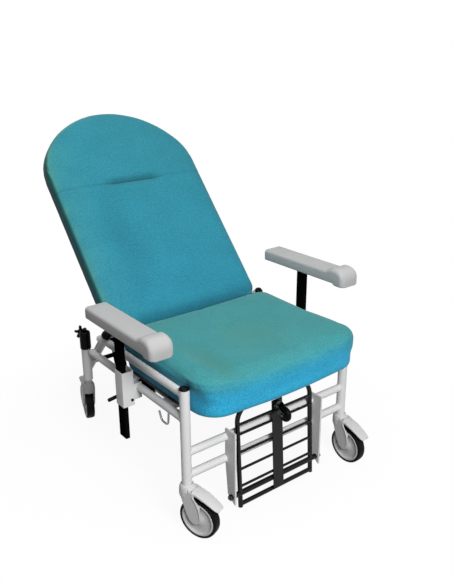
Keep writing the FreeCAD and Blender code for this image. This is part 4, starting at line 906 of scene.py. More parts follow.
def pad_ring(low, high, run):
    """Section of a pad at a distance from its front: round nose, domed end, then a flat top."""
    size = sizes()
    behind = high.y - low.y - run
    rear_in = PAD_REAR * (1 - rounding(behind, PAD_REAR))
    nose_z = low.z + PAD_NOSE_FOOT
    dome = nose_z + (high.z - nose_z) * rounding(run, PAD_NOSE)
    top = dome - PAD_STEP * ease(run, PAD_DOME, PAD_FLAT) - rear_in
    foot = low.z + PAD_LIP * ease(run, PAD_NOSE, PAD_DOME) + rear_in
    half = (high.x - low.x) / 2 - PAD_CORNER * (1 - rounding(run, PAD_CORNER)) - rear_in
    middle = (high.x + low.x) / 2
    edge = min(size.pad_edge * (1.5 - 0.5 * ease(run, PAD_NOSE, PAD_FLAT)), (top - foot) / 2)
    corners = ((1, top - edge, edge, 0), (-1, top - edge, edge, 1),
               (-1, foot + size.pad_foot, size.pad_foot, 2), (1, foot + size.pad_foot, size.pad_foot, 3))
    ring = []
    for side, z, radius, quarter in corners:
        for i in range(PAD_RING_STEPS + 1):
            turn = math.pi / 2 * (quarter + i / PAD_RING_STEPS)
            x = middle + side * (half - radius) + radius * math.cos(turn)
            ring.append(Vector((x, low.y + run, z + radius * math.sin(turn))))
    return ring


def pad_runs(length):
    """Distances from a pad's front at which it has a section, closer together on its round ends."""
    slope = PAD_FLAT - PAD_NOSE
    flat = length - PAD_REAR - PAD_FLAT
    runs = [PAD_NOSE * (i / PAD_NOSE_STEPS) ** 2 for i in range(PAD_NOSE_STEPS + 1)]
    runs += [PAD_NOSE + slope * i / PAD_SLOPE_STEPS for i in range(1, PAD_SLOPE_STEPS + 1)]
    runs += [PAD_FLAT + flat * i / PAD_FLAT_STEPS for i in range(1, PAD_FLAT_STEPS + 1)]
    runs += [length - PAD_REAR * (1 - i / PAD_REAR_STEPS) ** 2 for i in range(1, PAD_REAR_STEPS + 1)]
    return runs


class CHAIR_OT_armrest_pads(Operator):
    """Moulded armrest pads"""
    bl_idname = "chair.armrest_pads"
    bl_label = "Armrest Pads"

    def execute(self, context):
        for side in SIDES:
            node = "arm_pad_" + side
            low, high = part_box(node)
            bm = bmesh.new()
            add_loft(bm, [pad_ring(low, high, run) for run in pad_runs(high.y - low.y)])
            pad = link_mesh(bm, "armrest_pad_" + side)
            dress(pad, "pad_skin", "armrest_" + side, [node], math.radians(60))
        return {"FINISHED"}


def add_box_tube(bm, low, high, wall, corner):
    """Open box tube along Z with rounded corners."""
    before = set(bm.faces)
    ring = [(low.x, low.y), (high.x, low.y), (high.x, high.y), (low.x, high.y)]
    verts = [bm.verts.new((x, y, low.z)) for x, y in ring]
    bm.faces.new(verts)
    round_off(bm, verts, corner, 5, "VERTICES")
    face = next(f for f in bm.faces if f not in before)
    inset = bmesh.ops.inset_region(bm, faces=[face], thickness=wall, use_boundary=True, use_even_offset=True)
    bmesh.ops.delete(bm, geom=[face], context="FACES_ONLY")
    raise_faces(bm, inset["faces"], (0, 0, high.z - low.z))


# Armrest posts, their pad plates and the plates' screws
POST_PLAY = 0.003
POST_WIDTH = 0.015
POST_WALL = 0.0015
POST_CORNER = 0.003
PLATE_T = 0.004
PLATE_EDGE = 0.0012
SCREW_SHARE = 0.42
SCREW_IN = 0.010
SCREW_ACROSS = 0.010
SCREW_HEIGHT = 0.004

# Sleeves and clamp grips
SLEEVE_WIDTH = 0.040
SLEEVE_WALL = 0.0025
SLEEVE_CORNER = 0.0035
GRIP_R = 0.0058
GRIP_EDGE = 0.003
GRIP_START = 0.3
GRIP_DROP = 0.007
LEVER_ROD_IN = 0.005


class CHAIR_OT_armrest_posts(Operator):
    """Black armrest posts with their pad plates and screws"""
    bl_idname = "chair.armrest_posts"
    bl_label = "Armrest Posts"

    def execute(self, context):
        sleeve_low, sleeve_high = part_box("arm_sleeves")
        half = (sleeve_high.y - sleeve_low.y) / 2 - POST_PLAY
        middle = (sleeve_high.y + sleeve_low.y) / 2
        outer = sleeve_high.x - POST_PLAY
        for side, sign in SIDES.items():
            node = "arm_post_" + side
            low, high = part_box(node)
            xs = sorted((sign * outer, sign * (outer - POST_WIDTH)))
            under = high.z - PLATE_T
            bm = bmesh.new()
            add_box_tube(bm, Vector((xs[0], middle - half, low.z)), Vector((xs[1], middle + half, under)),
                         POST_WALL, POST_CORNER)
            add_box(bm, (low.x, low.y, under), high, PLATE_EDGE)
            for share in (-SCREW_SHARE, SCREW_SHARE):
                y = middle + share * (high.y - low.y)
                for x in (low.x + SCREW_IN, high.x - SCREW_IN):
                    add_hex(bm, (x, y, under), (0, 0, -1), SCREW_ACROSS, SCREW_HEIGHT)
            post = link_mesh(bm, "armrest_post_" + side)
            dress(post, "black_paint", "armrest_" + side, [node])
        return {"FINISHED"}


class CHAIR_OT_armrest_sleeves(Operator):
    """White folded sleeves that guide the armrest posts"""
    bl_idname = "chair.armrest_sleeves"
    bl_label = "Armrest Sleeves"

    def execute(self, context):
        low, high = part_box("arm_sleeves")
        bm = bmesh.new()
        for sign in SIDES.values():
            xs = sorted((sign * high.x, sign * (high.x - SLEEVE_WIDTH)))
            ends = [Vector((x, *end.yz)) for x, end in zip(xs, (low, high))]
            add_box_tube(bm, *ends, SLEEVE_WALL, SLEEVE_CORNER)
        dress(link_mesh(bm, "armrest_sleeves"), "frame_paint", "frame", ["arm_sleeves"])
        return {"FINISHED"}


class CHAIR_OT_clamp_levers(Operator):
    """Plastic grips on the clamp levers below the armrests"""
    bl_idname = "chair.clamp_levers"
    bl_label = "Clamp Levers"

    def execute(self, context):
        for side, sign in SIDES.items():
            low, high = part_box("clamp_lever_" + side)
            joint = joint_spot("arm_clamp_turn_" + side)
            rod_y = high.y - LEVER_ROD_IN
            tip = Vector((high.x if sign > 0 else low.x, rod_y, joint.z - GRIP_DROP))
            root = Vector((joint.x, rod_y, joint.z))
            bm = bmesh.new()
            add_rod(bm, root.lerp(tip, GRIP_START), tip, GRIP_R, GRIP_EDGE)
            dress(link_mesh(bm, "clamp_grip_" + side), "black_plastic", "arm_clamp_" + side)
        return {"FINISHED"}


# Castors
def castor_place(place):
    """Local frame of a castor: swivel axis at the origin, wheel ahead along -Y."""
    spot = joint_spot("castor_swivel_" + place)
    across = Vector(JOINTS["castor_spin_" + place]["axis"])
    return Matrix.Translation(spot) @ Matrix.Rotation(math.atan2(across.y, across.x), 4, "Z")


# Wheel axle and brake pin in a castor's local frame
AXLE = castor_place("front_left").inverted() @ joint_spot("castor_spin_front_left")
PIN = castor_place("front_left").inverted() @ joint_spot("brake_press_front_left")
TYRE_R = AXLE.z
CHEEK_IN = 0.0156
CHEEK_OUT = 0.0225
TUBE_FIT = 0.0156
BARREL_R = 0.0175
BARREL_GAP = 0.0008
BARREL_HALF = 0.0207
TYRE_T = 0.0088
RIM_R = TYRE_R - TYRE_T
PEDAL_UP = 14.0

# Castor outlines from its side: distance ahead of the swivel and height, in metres
COLLAR = [(TUBE_FIT, 0.158), (TUBE_FIT, 0.1665), (0.0172, 0.1672), (0.0200, 0.1645), (0.0226, 0.1580),
          (0.0238, 0.1480), (0.0238, 0.1330), (0.0225, 0.1275), (0.004, 0.1275), (0.004, 0.158)]
LEAF = [(-0.010, 0.148), (-0.0115, 0.138), (-0.006, 0.122), (0.001, 0.100), (0.009, 0.077), (0.019, 0.058),
        (0.032, 0.050), (0.044, 0.0505), (0.051, 0.057), (0.0555, 0.070), (0.056, 0.084), (0.0543, 0.098),
        (0.0505, 0.111), (0.046, 0.121), (0.040, 0.131), (0.032, 0.141), (0.020, 0.150)]
LEAF_RIM = LEAF[8:16]
HOOD = [(0.010, 0.126), (0.020, 0.130), (0.036, 0.122), (0.050, 0.1165), (0.055, 0.108), (0.052, 0.098),
        (0.038, 0.106)]
PEDAL_TOP = [(0.028, 0.1576), (0.045, 0.1535), (0.066, 0.1465), (0.090, 0.1345), (0.105, 0.1255),
             (0.116, 0.1180)]
PEDAL_FOOT = [(0.036, 0.1440), (0.045, 0.1420), (0.066, 0.1365), (0.090, 0.1265), (0.105, 0.1195),
              (0.116, 0.1135)]
PEDAL_HALF = [(0.018, 0.0200), (0.045, 0.0203), (0.060, 0.0212), (0.090, 0.0202), (0.104, 0.0190),
              (0.111, 0.0172), (0.1145, 0.0150), (0.116, 0.0115)]
PEDAL_SIDE = 0.012
SADDLE_TOP = [(-0.005, 0.1612), (0.012, 0.1600), (0.028, 0.1580), (0.036, 0.1560)]
SADDLE_HALF = [(-0.005, 0.0215), (0.012, 0.0226), (0.036, 0.0222)]
SADDLE_FOOT = 0.1285
CROWN_SHARES = (-1, -0.75, -0.5, -0.25, 0, 0.25, 0.5, 0.75, 1)
PEDAL_WALL = 0.0034
PEDAL_CROWN = 0.0030
PEDAL_THIN = 0.0004
PEDAL_STEPS = 56
HOOD_T = 0.003
RIM_BEAD_R = 0.0024
RIM_BEAD_OUT = 0.0004
BRIDGE_STEPS = 8


def from_side(x, outline):
    """Points of a side outline at a distance across the castor."""
    return [Vector((x, -ahead, up)) for ahead, up in outline]


def crowned(ahead, half, top):
    """Points across X over a crowned top."""
    return [Vector((half * share, -ahead, top - PEDAL_CROWN * share * share)) for share in CROWN_SHARES]


def saddle_ring(ahead):
    """Section across X of the bridge from the collar to the pedal."""
    top = follow(SADDLE_TOP, ahead)
    half = follow(SADDLE_HALF, ahead)
    return crowned(ahead, half, top) + [Vector((x, -ahead, SADDLE_FOOT)) for x in (half, -half)]


def castor_housing_mesh(name):
    """Moulded housing: collar round the leg, leaf-shaped cheeks with a raised rim, hood over the tyre."""
    bm = bmesh.new()
    add_spin(bm, COLLAR, Matrix.Identity(4), steps=64, closed=True)
    bridge = SADDLE_TOP[-1][0] - TUBE_FIT
    add_loft(bm, [saddle_ring(TUBE_FIT + bridge * i / BRIDGE_STEPS) for i in range(BRIDGE_STEPS + 1)])
    for sign in (-1, 1):
        cheek = Vector((sign * (CHEEK_OUT - CHEEK_IN), 0, 0))
        add_plate(bm, from_side(sign * CHEEK_IN, LEAF), cheek, 0.0, 0.0)
        add_plate(bm, from_side(sign * CHEEK_IN, HOOD), Vector((sign * HOOD_T, 0, 0)), 0.0, 0.0)
        swell = [0.25 + 0.75 * ease(i, 0, 3) for i in range(len(LEAF_RIM))]
        add_curve(bm, from_side(sign * (CHEEK_OUT + RIM_BEAD_OUT), LEAF_RIM), RIM_BEAD_R, False, swell)
    piece = link_mesh(bm, name)
    blend_mould(piece, sizes().mould_voxel, passes=6)
    barrel = bmesh.new()
    reach = Vector((BARREL_HALF, 0, 0))
    add_rod(barrel, PIN - reach, PIN + reach, BARREL_R + BARREL_GAP, segments=64)
    cut_away(piece, link_mesh(barrel, name + "_cutter"))
    return piece


def pedal_ring(ahead):
    """Section of the pedal across X: crowned top over two turned-down sides, open below."""
    top = follow(PEDAL_TOP, ahead)
    foot = follow(PEDAL_FOOT, ahead)
    behind = -PIN.y - ahead
    if behind > 0:
        rise = math.sqrt(max(BARREL_R ** 2 - behind ** 2, 0.0))
        top = min(top, PIN.z + rise) if ahead > PEDAL_TOP[0][0] else PIN.z + rise
        foot = max(PIN.z - rise, top - PEDAL_SIDE)
    half = follow(PEDAL_HALF, ahead)
    wall = min(PEDAL_WALL, 0.6 * half)
    roof = max(top - PEDAL_WALL, foot + PEDAL_THIN)
    outer = crowned(ahead, half, top)
    outer[0].z = outer[-1].z = max(outer[0].z, foot + 2 * PEDAL_THIN)
    inner = half - wall
    legs = [Vector((half, -ahead, foot)), Vector((inner, -ahead, foot)), Vector((inner, -ahead, roof)),
            Vector((-inner, -ahead, roof)), Vector((-inner, -ahead, foot)), Vector((-half, -ahead, foot))]
    return outer + legs


def castor_pedal_mesh(name):
    """Broad brake pedal: round root about its pin, crowned tongue with turned-down sides, round tip."""
    root = -PIN.y - BARREL_R + PEDAL_THIN
    reach = PEDAL_TOP[-1][0] - root
    places = [root + reach * (i / PEDAL_STEPS) ** 1.25 for i in range(PEDAL_STEPS + 1)]
    bm = bmesh.new()
    add_loft(bm, [pedal_ring(ahead) for ahead in places])
    piece = link_mesh(bm, name)
    blend_mould(piece, sizes().mould_voxel, passes=5)
    return piece


def castor_disc_mesh(name):
    """Dished wheel disc with a raised rim ring and a hub."""
    side = [(0.0052, 0.0135), (0.013, 0.0135), (0.016, 0.0120), (0.022, 0.0096), (RIM_R - 0.016, 0.0094),
            (RIM_R - 0.0085, 0.0112), (RIM_R - 0.0070, 0.0126), (RIM_R - 0.0062, 0.0143),
            (RIM_R - 0.0040, 0.0149), (RIM_R - 0.0015, 0.0147), (RIM_R - 0.0002, 0.0138)]
    bm = bmesh.new()
    add_wheel(bm, side, AXLE, steps=72)
    return link_mesh(bm, name)


def castor_tyre_mesh(name):
    """Solid rubber tyre with a rounded tread."""
    side = [(RIM_R, 0.0138), (RIM_R + 0.0012, 0.0148), (RIM_R + 0.0030, 0.0150), (TYRE_R - 0.0022, 0.0140),
            (TYRE_R - 0.0009, 0.0118), (TYRE_R - 0.0002, 0.0085), (TYRE_R, 0.0045)]
    bm = bmesh.new()
    add_wheel(bm, side, AXLE, steps=96)
    return link_mesh(bm, name)


def pedal_turn(place):
    """Turn of a castor's pedal about its pin, from how far it may still be lifted."""
    lift = math.radians(JOINTS["brake_press_" + place]["range_deg"][0] + PEDAL_UP)
    return Matrix.Translation(PIN) @ Matrix.Rotation(-lift, 4, "X") @ Matrix.Translation(-PIN)


class CHAIR_OT_castors(Operator):
    """Four braked castors"""
    bl_idname = "chair.castors"
    bl_label = "Castors"

    def execute(self, context):
        kinds = (
            ("housing", castor_housing_mesh, "castor_shell", "castor_", "castor_grey", 180),
            ("pedal", castor_pedal_mesh, "castor_shell", "brake_pedal_", "castor_grey", 180),
            ("disc", castor_disc_mesh, "castor_shell", "castor_wheel_", "castor_grey", 50),
            ("tyre", castor_tyre_mesh, "rubber", "castor_wheel_", "tyre", 50),
        )
        for kind, build, finish, body, slot, sharp in kinds:
            master = build("castor_" + kind + "_master")
            for place in CASTOR_PLACES:
                mesh = master.data.copy()
                if kind == "pedal":
                    mesh.transform(pedal_turn(place))
                mesh.transform(castor_place(place))
                piece = bpy.data.objects.new("castor_%s_skin_%s" % (kind, place), mesh)
                context.scene.collection.objects.link(piece)
                node = "castor_%s_%s" % (kind, place)
                dress(piece, finish, body + place, [node], math.radians(sharp))
            bpy.data.objects.remove(master)
        return {"FINISHED"}


# Frame details
FINISH_OF_SLOT = {"vinyl": "seat_cloth", "pad": "pad_skin", "bright_steel": "zinc",
                  "castor_grey": "castor_shell", "tyre": "rubber"}
WELDED_TUBES = (("upper_rails", False), ("lower_rails", False), ("front_cross_upper", True),
                ("front_cross_lower", True))
BEAD_STEPS = 32
BEAD_RIPPLES = 9
BEAD_RIPPLE = 0.22
CAP_RISE = [(0.0, 0.0075), (0.55, 0.0070), (0.85, 0.0050), (1.0, 0.0022), (1.0, 0.0002)]
CAP_LIP = 0.0005
CAP_PLUG = 0.004
REAR_CAP_TALL = 2.0
REAR_CAP_OUT = 0.015
REAR_BEND_RISE = 0.057


def bead_ring(x, z, way, along_x):
    """Weld ring where a side tube, or a cross tube along X, meets a front post."""
    ring = []
    for i in range(BEAD_STEPS):
        turn = 2 * math.pi * i / BEAD_STEPS
        across = RAIL_R * math.cos(turn)
        ahead = way * math.sqrt(POST_R ** 2 - across ** 2)
        step = (ahead, across) if along_x else (across, ahead)
        ring.append((x + step[0], POST_Y + step[1], z + RAIL_R * math.sin(turn)))
    return ring


class CHAIR_OT_frame(Operator):
    """Painted frame, weld beads and tube caps"""
    bl_idname = "chair.frame"
    bl_label = "Frame"

    def execute(self, context):
        slots = {s["node"]: s["material_slot"] for s in frame["record"]["subparts"]}
        for name, node in NODES.items():
            coat = FINISH_OF_SLOT.get(slots[name], slots[name])
            if name.startswith("footrest") and coat == "black_paint":
                coat = "black_gloss"
            node.data.materials.clear()
            node.data.materials.append(MATERIALS[coat])
        self.welds()
        self.caps()
        return {"FINISHED"}

    def welds(self):
        """Beads where rails and cross tubes meet the front posts."""
        turns = [BEAD_RIPPLES * 2 * math.pi * i / BEAD_STEPS for i in range(BEAD_STEPS)]
        ripple = [1.0 + BEAD_RIPPLE * math.sin(turn) for turn in turns]
        bm = bmesh.new()
        for sign in SIDES.values():
            for node, along_x in WELDED_TUBES:
                low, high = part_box(node)
                ring = bead_ring(sign * POST_X, (low.z + high.z) / 2, -sign if along_x else 1, along_x)
                add_curve(bm, ring, sizes().weld_r, True, ripple)
        dress(link_mesh(bm, "frame_welds"), "frame_paint", "frame")

    def caps(self):
        """Domed black caps on the front posts and rear leg tops."""
        bm = bmesh.new()
        slope = self.rear_slope()
        for sign in SIDES.values():
            add_spin(bm, self.dome(1.0), Matrix.Translation((sign * POST_X, POST_Y, POST_HIGH.z)), steps=40)
            way = Vector((sign * -slope.x, -slope.y, -slope.z))
            end = Vector((sign * POST_X, HINGE.y, HINGE.z)) + way * REAR_CAP_OUT
            add_spin(bm, self.dome(REAR_CAP_TALL), Matrix.Translation(end) @ turn_to(way), steps=40)
        dress(link_mesh(bm, "tube_end_caps"), "black_plastic", "frame", ["tube_caps"])

    def dome(self, tall):
        """Profile of a tube cap, a number of times as tall as a flat one."""
        rim = POST_R + CAP_LIP * tall
        crown = [(rim * out, up * tall) for out, up in CAP_RISE]
        return crown + [(rim - 0.001, 0.0), (rim - CAP_PLUG, -CAP_PLUG), (0.0, -CAP_PLUG)]

    def rear_slope(self):
        """Way of the right rear leg's sloping run, from the hinge down to its bend."""
        rear = joint_spot("castor_swivel_rear_right")
        corner = Vector((rear.x, rear.y, POST_LOW.z + REAR_BEND_RISE))
        return (corner - Vector((POST_X, HINGE.y, HINGE.z))).normalized()


HINGE_CAP_IN = 0.004


class CHAIR_OT_hinge_caps(Operator):
    """White domed caps on the backrest hinge bolts"""
    bl_idname = "chair.hinge_caps"
    bl_label = "Hinge Caps"

    def execute(self, context):
        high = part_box("hinge_caps")[1]
        base = POST_X + POST_R - HINGE_CAP_IN
        reach = high.x - base
        dome = [(0.0, reach), (0.005, reach - 0.0008), (0.0085, reach - 0.0035), (0.0105, reach - 0.008),
                (0.011, reach - 0.012), (0.011, 0.0), (0.0, 0.0)]
        bm = bmesh.new()
        for sign in SIDES.values():
            turn = Matrix.Rotation(sign * math.pi / 2, 4, "Y")
            add_spin(bm, dome, Matrix.Translation((sign * base, HINGE.y, HINGE.z)) @ turn, steps=36)
        dress(link_mesh(bm, "hinge_cap_domes"), "white_cap", "frame", ["hinge_caps"])
        return {"FINISHED"}


# Drip pole holder: the boss on its clamp head, and the star knob
BOSS_R = 0.009
BOSS_IN = 0.003
BOSS_OUT = 0.004
BOSS_EDGE = 0.001
KNOB_ARMS = 5
KNOB_ARM_R = 0.0225
KNOB_ARM_TURN = 0.15
KNOB_WAIST_R = 0.0080
KNOB_FACE = 0.014
KNOB_T = 0.011
KNOB_ROUND = 0.0020
KNOB_HUB_R = 0.0085
KNOB_HUB_H = 0.004
KNOB_STEM_R = 0.0038


class CHAIR_OT_pole_holder(Operator):
    """Clamp head and star knob of the drip pole holder"""
    bl_idname = "chair.pole_holder"
    bl_label = "Pole Holder"

    def execute(self, context):
        low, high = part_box("iv_head")
        centre = (low + high) / 2
        outer = (high.x - low.x) / 2
        bore = frame["record"]["mounts"][0]["dims"]["r_mm"] / 1000
        profile = [(bore, low.z), (outer - 0.001, low.z), (outer, low.z + 0.001), (outer, high.z - 0.005),
                   (outer - 0.0015, high.z - 0.0015), (outer - 0.004, high.z), (bore + 0.001, high.z),
                   (bore, high.z - 0.001)]
        bm = bmesh.new()
        add_spin(bm, profile, Matrix.Translation((centre.x, centre.y, 0)), steps=48, closed=True)
        spot = joint_spot("pole_knob_turn")
        ends = [(spot.x, y, spot.z) for y in (high.y - BOSS_IN, high.y + BOSS_OUT)]
        add_rod(bm, *ends, BOSS_R, BOSS_EDGE)
        dress(link_mesh(bm, "pole_clamp_head"), "black_plastic", "frame", ["iv_head"])
        self.knob(spot)
        return {"FINISHED"}

    def knob(self, spot):
        """Star knob with slender arms on a hub."""
        low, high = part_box("iv_knob")
        face = high.y - KNOB_FACE
        arm = ((-KNOB_ARM_TURN, KNOB_ARM_R), (KNOB_ARM_TURN, KNOB_ARM_R), (math.pi / KNOB_ARMS, KNOB_WAIST_R))
        outline = []
        for i in range(KNOB_ARMS):
            for turn, radius in arm:
                angle = 2 * math.pi * i / KNOB_ARMS + turn
                out = radius * Vector((math.sin(angle), 0, math.cos(angle)))
                outline.append(Vector((spot.x, face, spot.z)) + out)
        bm = bmesh.new()
        add_plate(bm, outline, Vector((0, KNOB_T, 0)), KNOB_ROUND, KNOB_ROUND)
        add_rod(bm, (spot.x, high.y - KNOB_HUB_H, spot.z), (spot.x, high.y, spot.z), KNOB_HUB_R, KNOB_ROUND)
        add_rod(bm, (spot.x, low.y, spot.z), (spot.x, face + KNOB_ROUND, spot.z), KNOB_STEM_R)
        dress(link_mesh(bm, "pole_star_knob"), "black_plastic", "pole_knob", ["iv_knob"])


# Footrest's castor fork, with its head's profile, and axle nuts
FORK_HEAD = [(0.0, 0.0065), (0.006, 0.0060), (0.012, 0.0050), (0.0155, 0.0038), (0.016, 0.0025), (0.016, 0.0),
             (0.0, 0.0)]
FORK_FACE = 0.0033
FORK_CROWN = 0.005
FORK_INNER = 0.0102
FORK_SHEET = 0.0025
FORK_CORNER = 0.004
FORK_EDGE = 0.0006
FORK_NUT = (0.010, 0.0035)
FORK_PIN_OUT = 0.0055
FORK_PIN_R = 0.003
FORK_PIN_EDGE = 0.0008
AXLE_NUT = (0.017, 0.006)
AXLE_NUT_IN = 0.001
AXLE_END_OUT = 0.009
AXLE_END_R = 0.005
AXLE_END_EDGE = 0.0012


class CHAIR_OT_footrest(Operator):
    """The footrest's small castor and axle nuts"""
    bl_idname = "chair.footrest"
    bl_label = "Footrest"

    def execute(self, context):
        self.wheel()
        self.fork()
        self.nuts()
        return {"FINISHED"}

    def wheel(self):
        """Small wheel: black tyre on a hub."""
        low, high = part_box("footrest_castor_wheel")
        radius = (high.z - low.z) / 2
        half = (high.x - low.x) / 2
        side = [(0.0042, half), (0.008, half), (0.009, half - 0.0015), (radius - 0.009, half - 0.0015),
                (radius - 0.008, half - 0.0004), (radius - 0.004, half - 0.001),
                (radius - 0.001, half - 0.004), (radius, half - 0.007)]
        bm = bmesh.new()
        add_wheel(bm, side, joint_spot("footrest_wheel_spin"), steps=56)
        wheel = link_mesh(bm, "footrest_castor_tyre")
        dress(wheel, "black_plastic", "footrest_wheel", ["footrest_castor_wheel"])

    def fork(self):
        """Pressed steel fork with a domed swivel head and axle nuts."""
        local = FOOTREST_PLACE.inverted()
        centre = local @ joint_spot("footrest_wheel_spin")
        pivot = local @ joint_spot("footrest_castor_swivel")
        face = pivot.y - FORK_FACE
        crown = face - FORK_CROWN
        cheek = [(face - 0.001, pivot.z + 0.011), (crown - 0.004, pivot.z + 0.009),
                 (centre.y - 0.005, centre.z + 0.006), (centre.y - 0.006, centre.z - 0.005),
                 (centre.y + 0.004, centre.z - 0.008), (face - 0.001, pivot.z - 0.012)]
        bm = bmesh.new()
        turn = Matrix.Rotation(math.pi / 2, 4, "X")
        add_spin(bm, FORK_HEAD, Matrix.Translation((0, face, pivot.z)) @ turn, steps=40)
        for sign in (-1, 1):
            corners = [Vector((sign * FORK_INNER, y, z)) for y, z in cheek]
            add_plate(bm, corners, Vector((sign * FORK_SHEET, 0, 0)), FORK_CORNER, FORK_EDGE)
            end = Vector((sign * FORK_INNER + sign * FORK_SHEET, centre.y, centre.z))
            add_hex(bm, end, (sign, 0, 0), *FORK_NUT)
            add_rod(bm, end, end + Vector((sign * FORK_PIN_OUT, 0, 0)), FORK_PIN_R, FORK_PIN_EDGE)
        bmesh.ops.transform(bm, matrix=FOOTREST_PLACE, verts=bm.verts)
        fork = link_mesh(bm, "footrest_castor_frame")
        # Plated fork with its reflection painted dark into its colour
        dress(fork, "dark_steel", "footrest_castor", ["footrest_castor_fork"])

    def nuts(self):
        """Nuts on the footrest's axle outside its brackets."""
        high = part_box("footrest_axle")[1]
        bm = bmesh.new()
        for sign in SIDES.values():
            end = Vector((sign * high.x, FOOT_AXLE.y, FOOT_AXLE.z))
            add_hex(bm, end - Vector((sign * AXLE_NUT_IN, 0, 0)), (sign, 0, 0), *AXLE_NUT)
            add_rod(bm, end, end + Vector((sign * AXLE_END_OUT, 0, 0)), AXLE_END_R, AXLE_END_EDGE)
        # Axle nuts in the same zinc with a painted dark reflection
        dress(link_mesh(bm, "footrest_axle_nuts"), "dark_steel", "footrest")


# Stage: lamps by name, place, size and power, then the floor's share of light and the reach of its shadow
LAMPS = (
    ("key", (-0.85, -3.2, 2.5), 1.5, 140.0),
    ("top", (-0.5, -0.2, 3.4), 2.6, 58.0),
    ("fill", (2.8, -1.2, 1.6), 2.4, 8.0),
    ("rim", (0.4, 2.8, 2.9), 2.4, 8.0),
)
LAMP_AIM = Vector((0, 0, 0.5))
WORLD_LIGHT = 0.035
FLOOR_SIZE = 30.0
FLOOR_GLOW = 0.93
FLOOR_BOUNCE = 0.22
FLOOR_SHADOW = 0.5
FLOOR_WHITE = 1.1


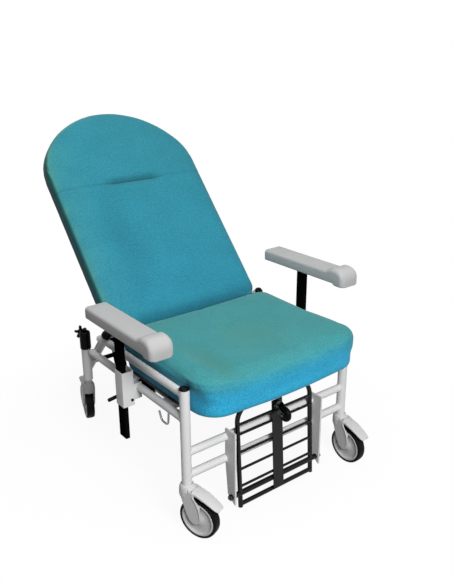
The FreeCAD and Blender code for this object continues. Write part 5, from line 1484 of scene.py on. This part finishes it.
class CHAIR_OT_stage(Operator):
    """Pale floor, soft lamps and the camera at the photograph's angle"""
    bl_idname = "chair.stage"
    bl_label = "Stage"

    def execute(self, context):
        scene = context.scene
        scene.view_settings.view_transform = "Standard"
        self.floor()
        self.world(scene)
        for values in LAMPS:
            self.lamp(*values)
        self.camera(scene)
        return {"FINISHED"}

    def floor(self):
        """Wide floor that shows white to the camera and keeps the shadow."""
        bm = bmesh.new()
        bmesh.ops.create_grid(bm, x_segments=1, y_segments=1, size=FLOOR_SIZE)
        plane = link_mesh(bm, "studio_floor")
        material, tree, shader = new_material("Studio floor")
        seen = self.seen(tree)
        shade = tuple(colours().floor)
        tree.links.new(mix_colour(tree, seen, tint(shade, FLOOR_BOUNCE), shade), shader.inputs["Base Color"])
        plug(tree, shader, {"Roughness": 0.9, "Specular IOR Level": 0.1})
        glow = add_node(tree, "ShaderNodeEmission", {"Color": (1.0, 1.0, 1.0, 1.0), "Strength": 1.0})
        away = add_node(tree, "ShaderNodeVectorMath", {0: own_place(tree)}, operation="LENGTH")
        white = spread(tree, away.outputs["Value"], FLOOR_SHADOW, FLOOR_WHITE, FLOOR_GLOW, 1.0)
        share = calculate(tree, "MULTIPLY", seen, white)
        mix = add_node(tree, "ShaderNodeMixShader", {0: share, 1: shader.outputs[0], 2: glow.outputs[0]})
        tree.links.new(mix.outputs[0], tree.nodes["Material Output"].inputs["Surface"])
        plane.data.materials.append(material)

    def seen(self, tree):
        """1 on rays from the camera, a mirror or glass."""
        path = add_node(tree, "ShaderNodeLightPath").outputs
        mirrored = calculate(tree, "MAXIMUM", path["Is Camera Ray"], path["Is Glossy Ray"])
        return calculate(tree, "MAXIMUM", mirrored, path["Is Transmission Ray"])

    def world(self, scene):
        """White to the camera, dimmer as a light."""
        scene.world = bpy.data.worlds.new("Studio")
        scene.world.use_nodes = True
        tree = scene.world.node_tree
        light = tree.nodes["Background"]
        light.inputs["Color"].default_value = (1.0, 1.0, 1.0, 1.0)
        strength = spread(tree, self.seen(tree), 0.0, 1.0, WORLD_LIGHT, 1.0)
        tree.links.new(strength, light.inputs["Strength"])

    def lamp(self, name, spot, size, power):
        """Square soft lamp that looks at the chair."""
        data = bpy.data.lights.new(name, "AREA")
        data.size = size
        data.energy = power
        lamp = bpy.data.objects.new(name, data)
        lamp.location = spot
        lamp.rotation_euler = (LAMP_AIM - Vector(spot)).to_track_quat("-Z", "Y").to_euler()
        bpy.context.scene.collection.objects.link(lamp)

    def camera(self, scene):
        """Camera fitted to the photograph."""
        back = Vector((math.sin(CAMERA_AZIMUTH) * math.cos(CAMERA_ELEVATION),
                       -math.cos(CAMERA_AZIMUTH) * math.cos(CAMERA_ELEVATION), math.sin(CAMERA_ELEVATION)))
        right = (-back).cross(Vector((0, 0, 1))).normalized()
        up = back.cross(right)
        rolled_right = right * math.cos(CAMERA_ROLL) + up * math.sin(CAMERA_ROLL)
        rolled_up = up * math.cos(CAMERA_ROLL) - right * math.sin(CAMERA_ROLL)
        data = bpy.data.cameras.new("photo_camera")
        data.sensor_width = 36.0
        data.lens = PHOTO_FOCAL / PHOTO_H * data.sensor_width
        data.shift_x = (PHOTO_W / 2 - PHOTO_CENTRE_U) / PHOTO_H
        data.shift_y = (PHOTO_CENTRE_V - PHOTO_H / 2) / PHOTO_H
        camera = bpy.data.objects.new("photo_camera", data)
        turn = Matrix((rolled_right, rolled_up, back)).transposed().to_4x4()
        camera.matrix_world = Matrix.Translation(CAMERA_TARGET + back * CAMERA_DISTANCE) @ turn
        scene.collection.objects.link(camera)
        scene.camera = camera


BUILD_ORDER = (
    CHAIR_OT_frame, CHAIR_OT_seat_cushion, CHAIR_OT_back_cushion, CHAIR_OT_armrest_pads,
    CHAIR_OT_armrest_posts, CHAIR_OT_armrest_sleeves, CHAIR_OT_clamp_levers, CHAIR_OT_castors,
    CHAIR_OT_hinge_caps, CHAIR_OT_pole_holder, CHAIR_OT_footrest, CHAIR_OT_stage,
)


class CHAIR_PT_panel(Panel):
    """Lists the chair's builders and values."""
    bl_idname = "CHAIR_PT_panel"
    bl_label = "Patient Rest Chair"
    bl_space_type = "VIEW_3D"
    bl_region_type = "UI"
    bl_category = "Chair"

    def draw(self, context):
        for values in (context.scene.chair_sizes, context.scene.chair_colours):
            box = self.layout.box()
            for key in values.__annotations__:
                box.prop(values, key)
        for builder in BUILD_ORDER:
            self.layout.operator(builder.bl_idname)


CLASSES = (ChairSizes, ChairColours) + BUILD_ORDER + (CHAIR_PT_panel,)


def register():
    for cls in CLASSES:
        bpy.utils.register_class(cls)
    bpy.types.Scene.chair_sizes = PointerProperty(type=ChairSizes)
    bpy.types.Scene.chair_colours = PointerProperty(type=ChairColours)


def unregister():
    del bpy.types.Scene.chair_colours
    del bpy.types.Scene.chair_sizes
    for cls in reversed(CLASSES):
        bpy.utils.unregister_class(cls)


def main():
    register()
    make_materials()
    for builder in BUILD_ORDER:
        group, name = builder.bl_idname.split(".")
        getattr(getattr(bpy.ops, group), name)()


if __name__ == "__main__":
    main()
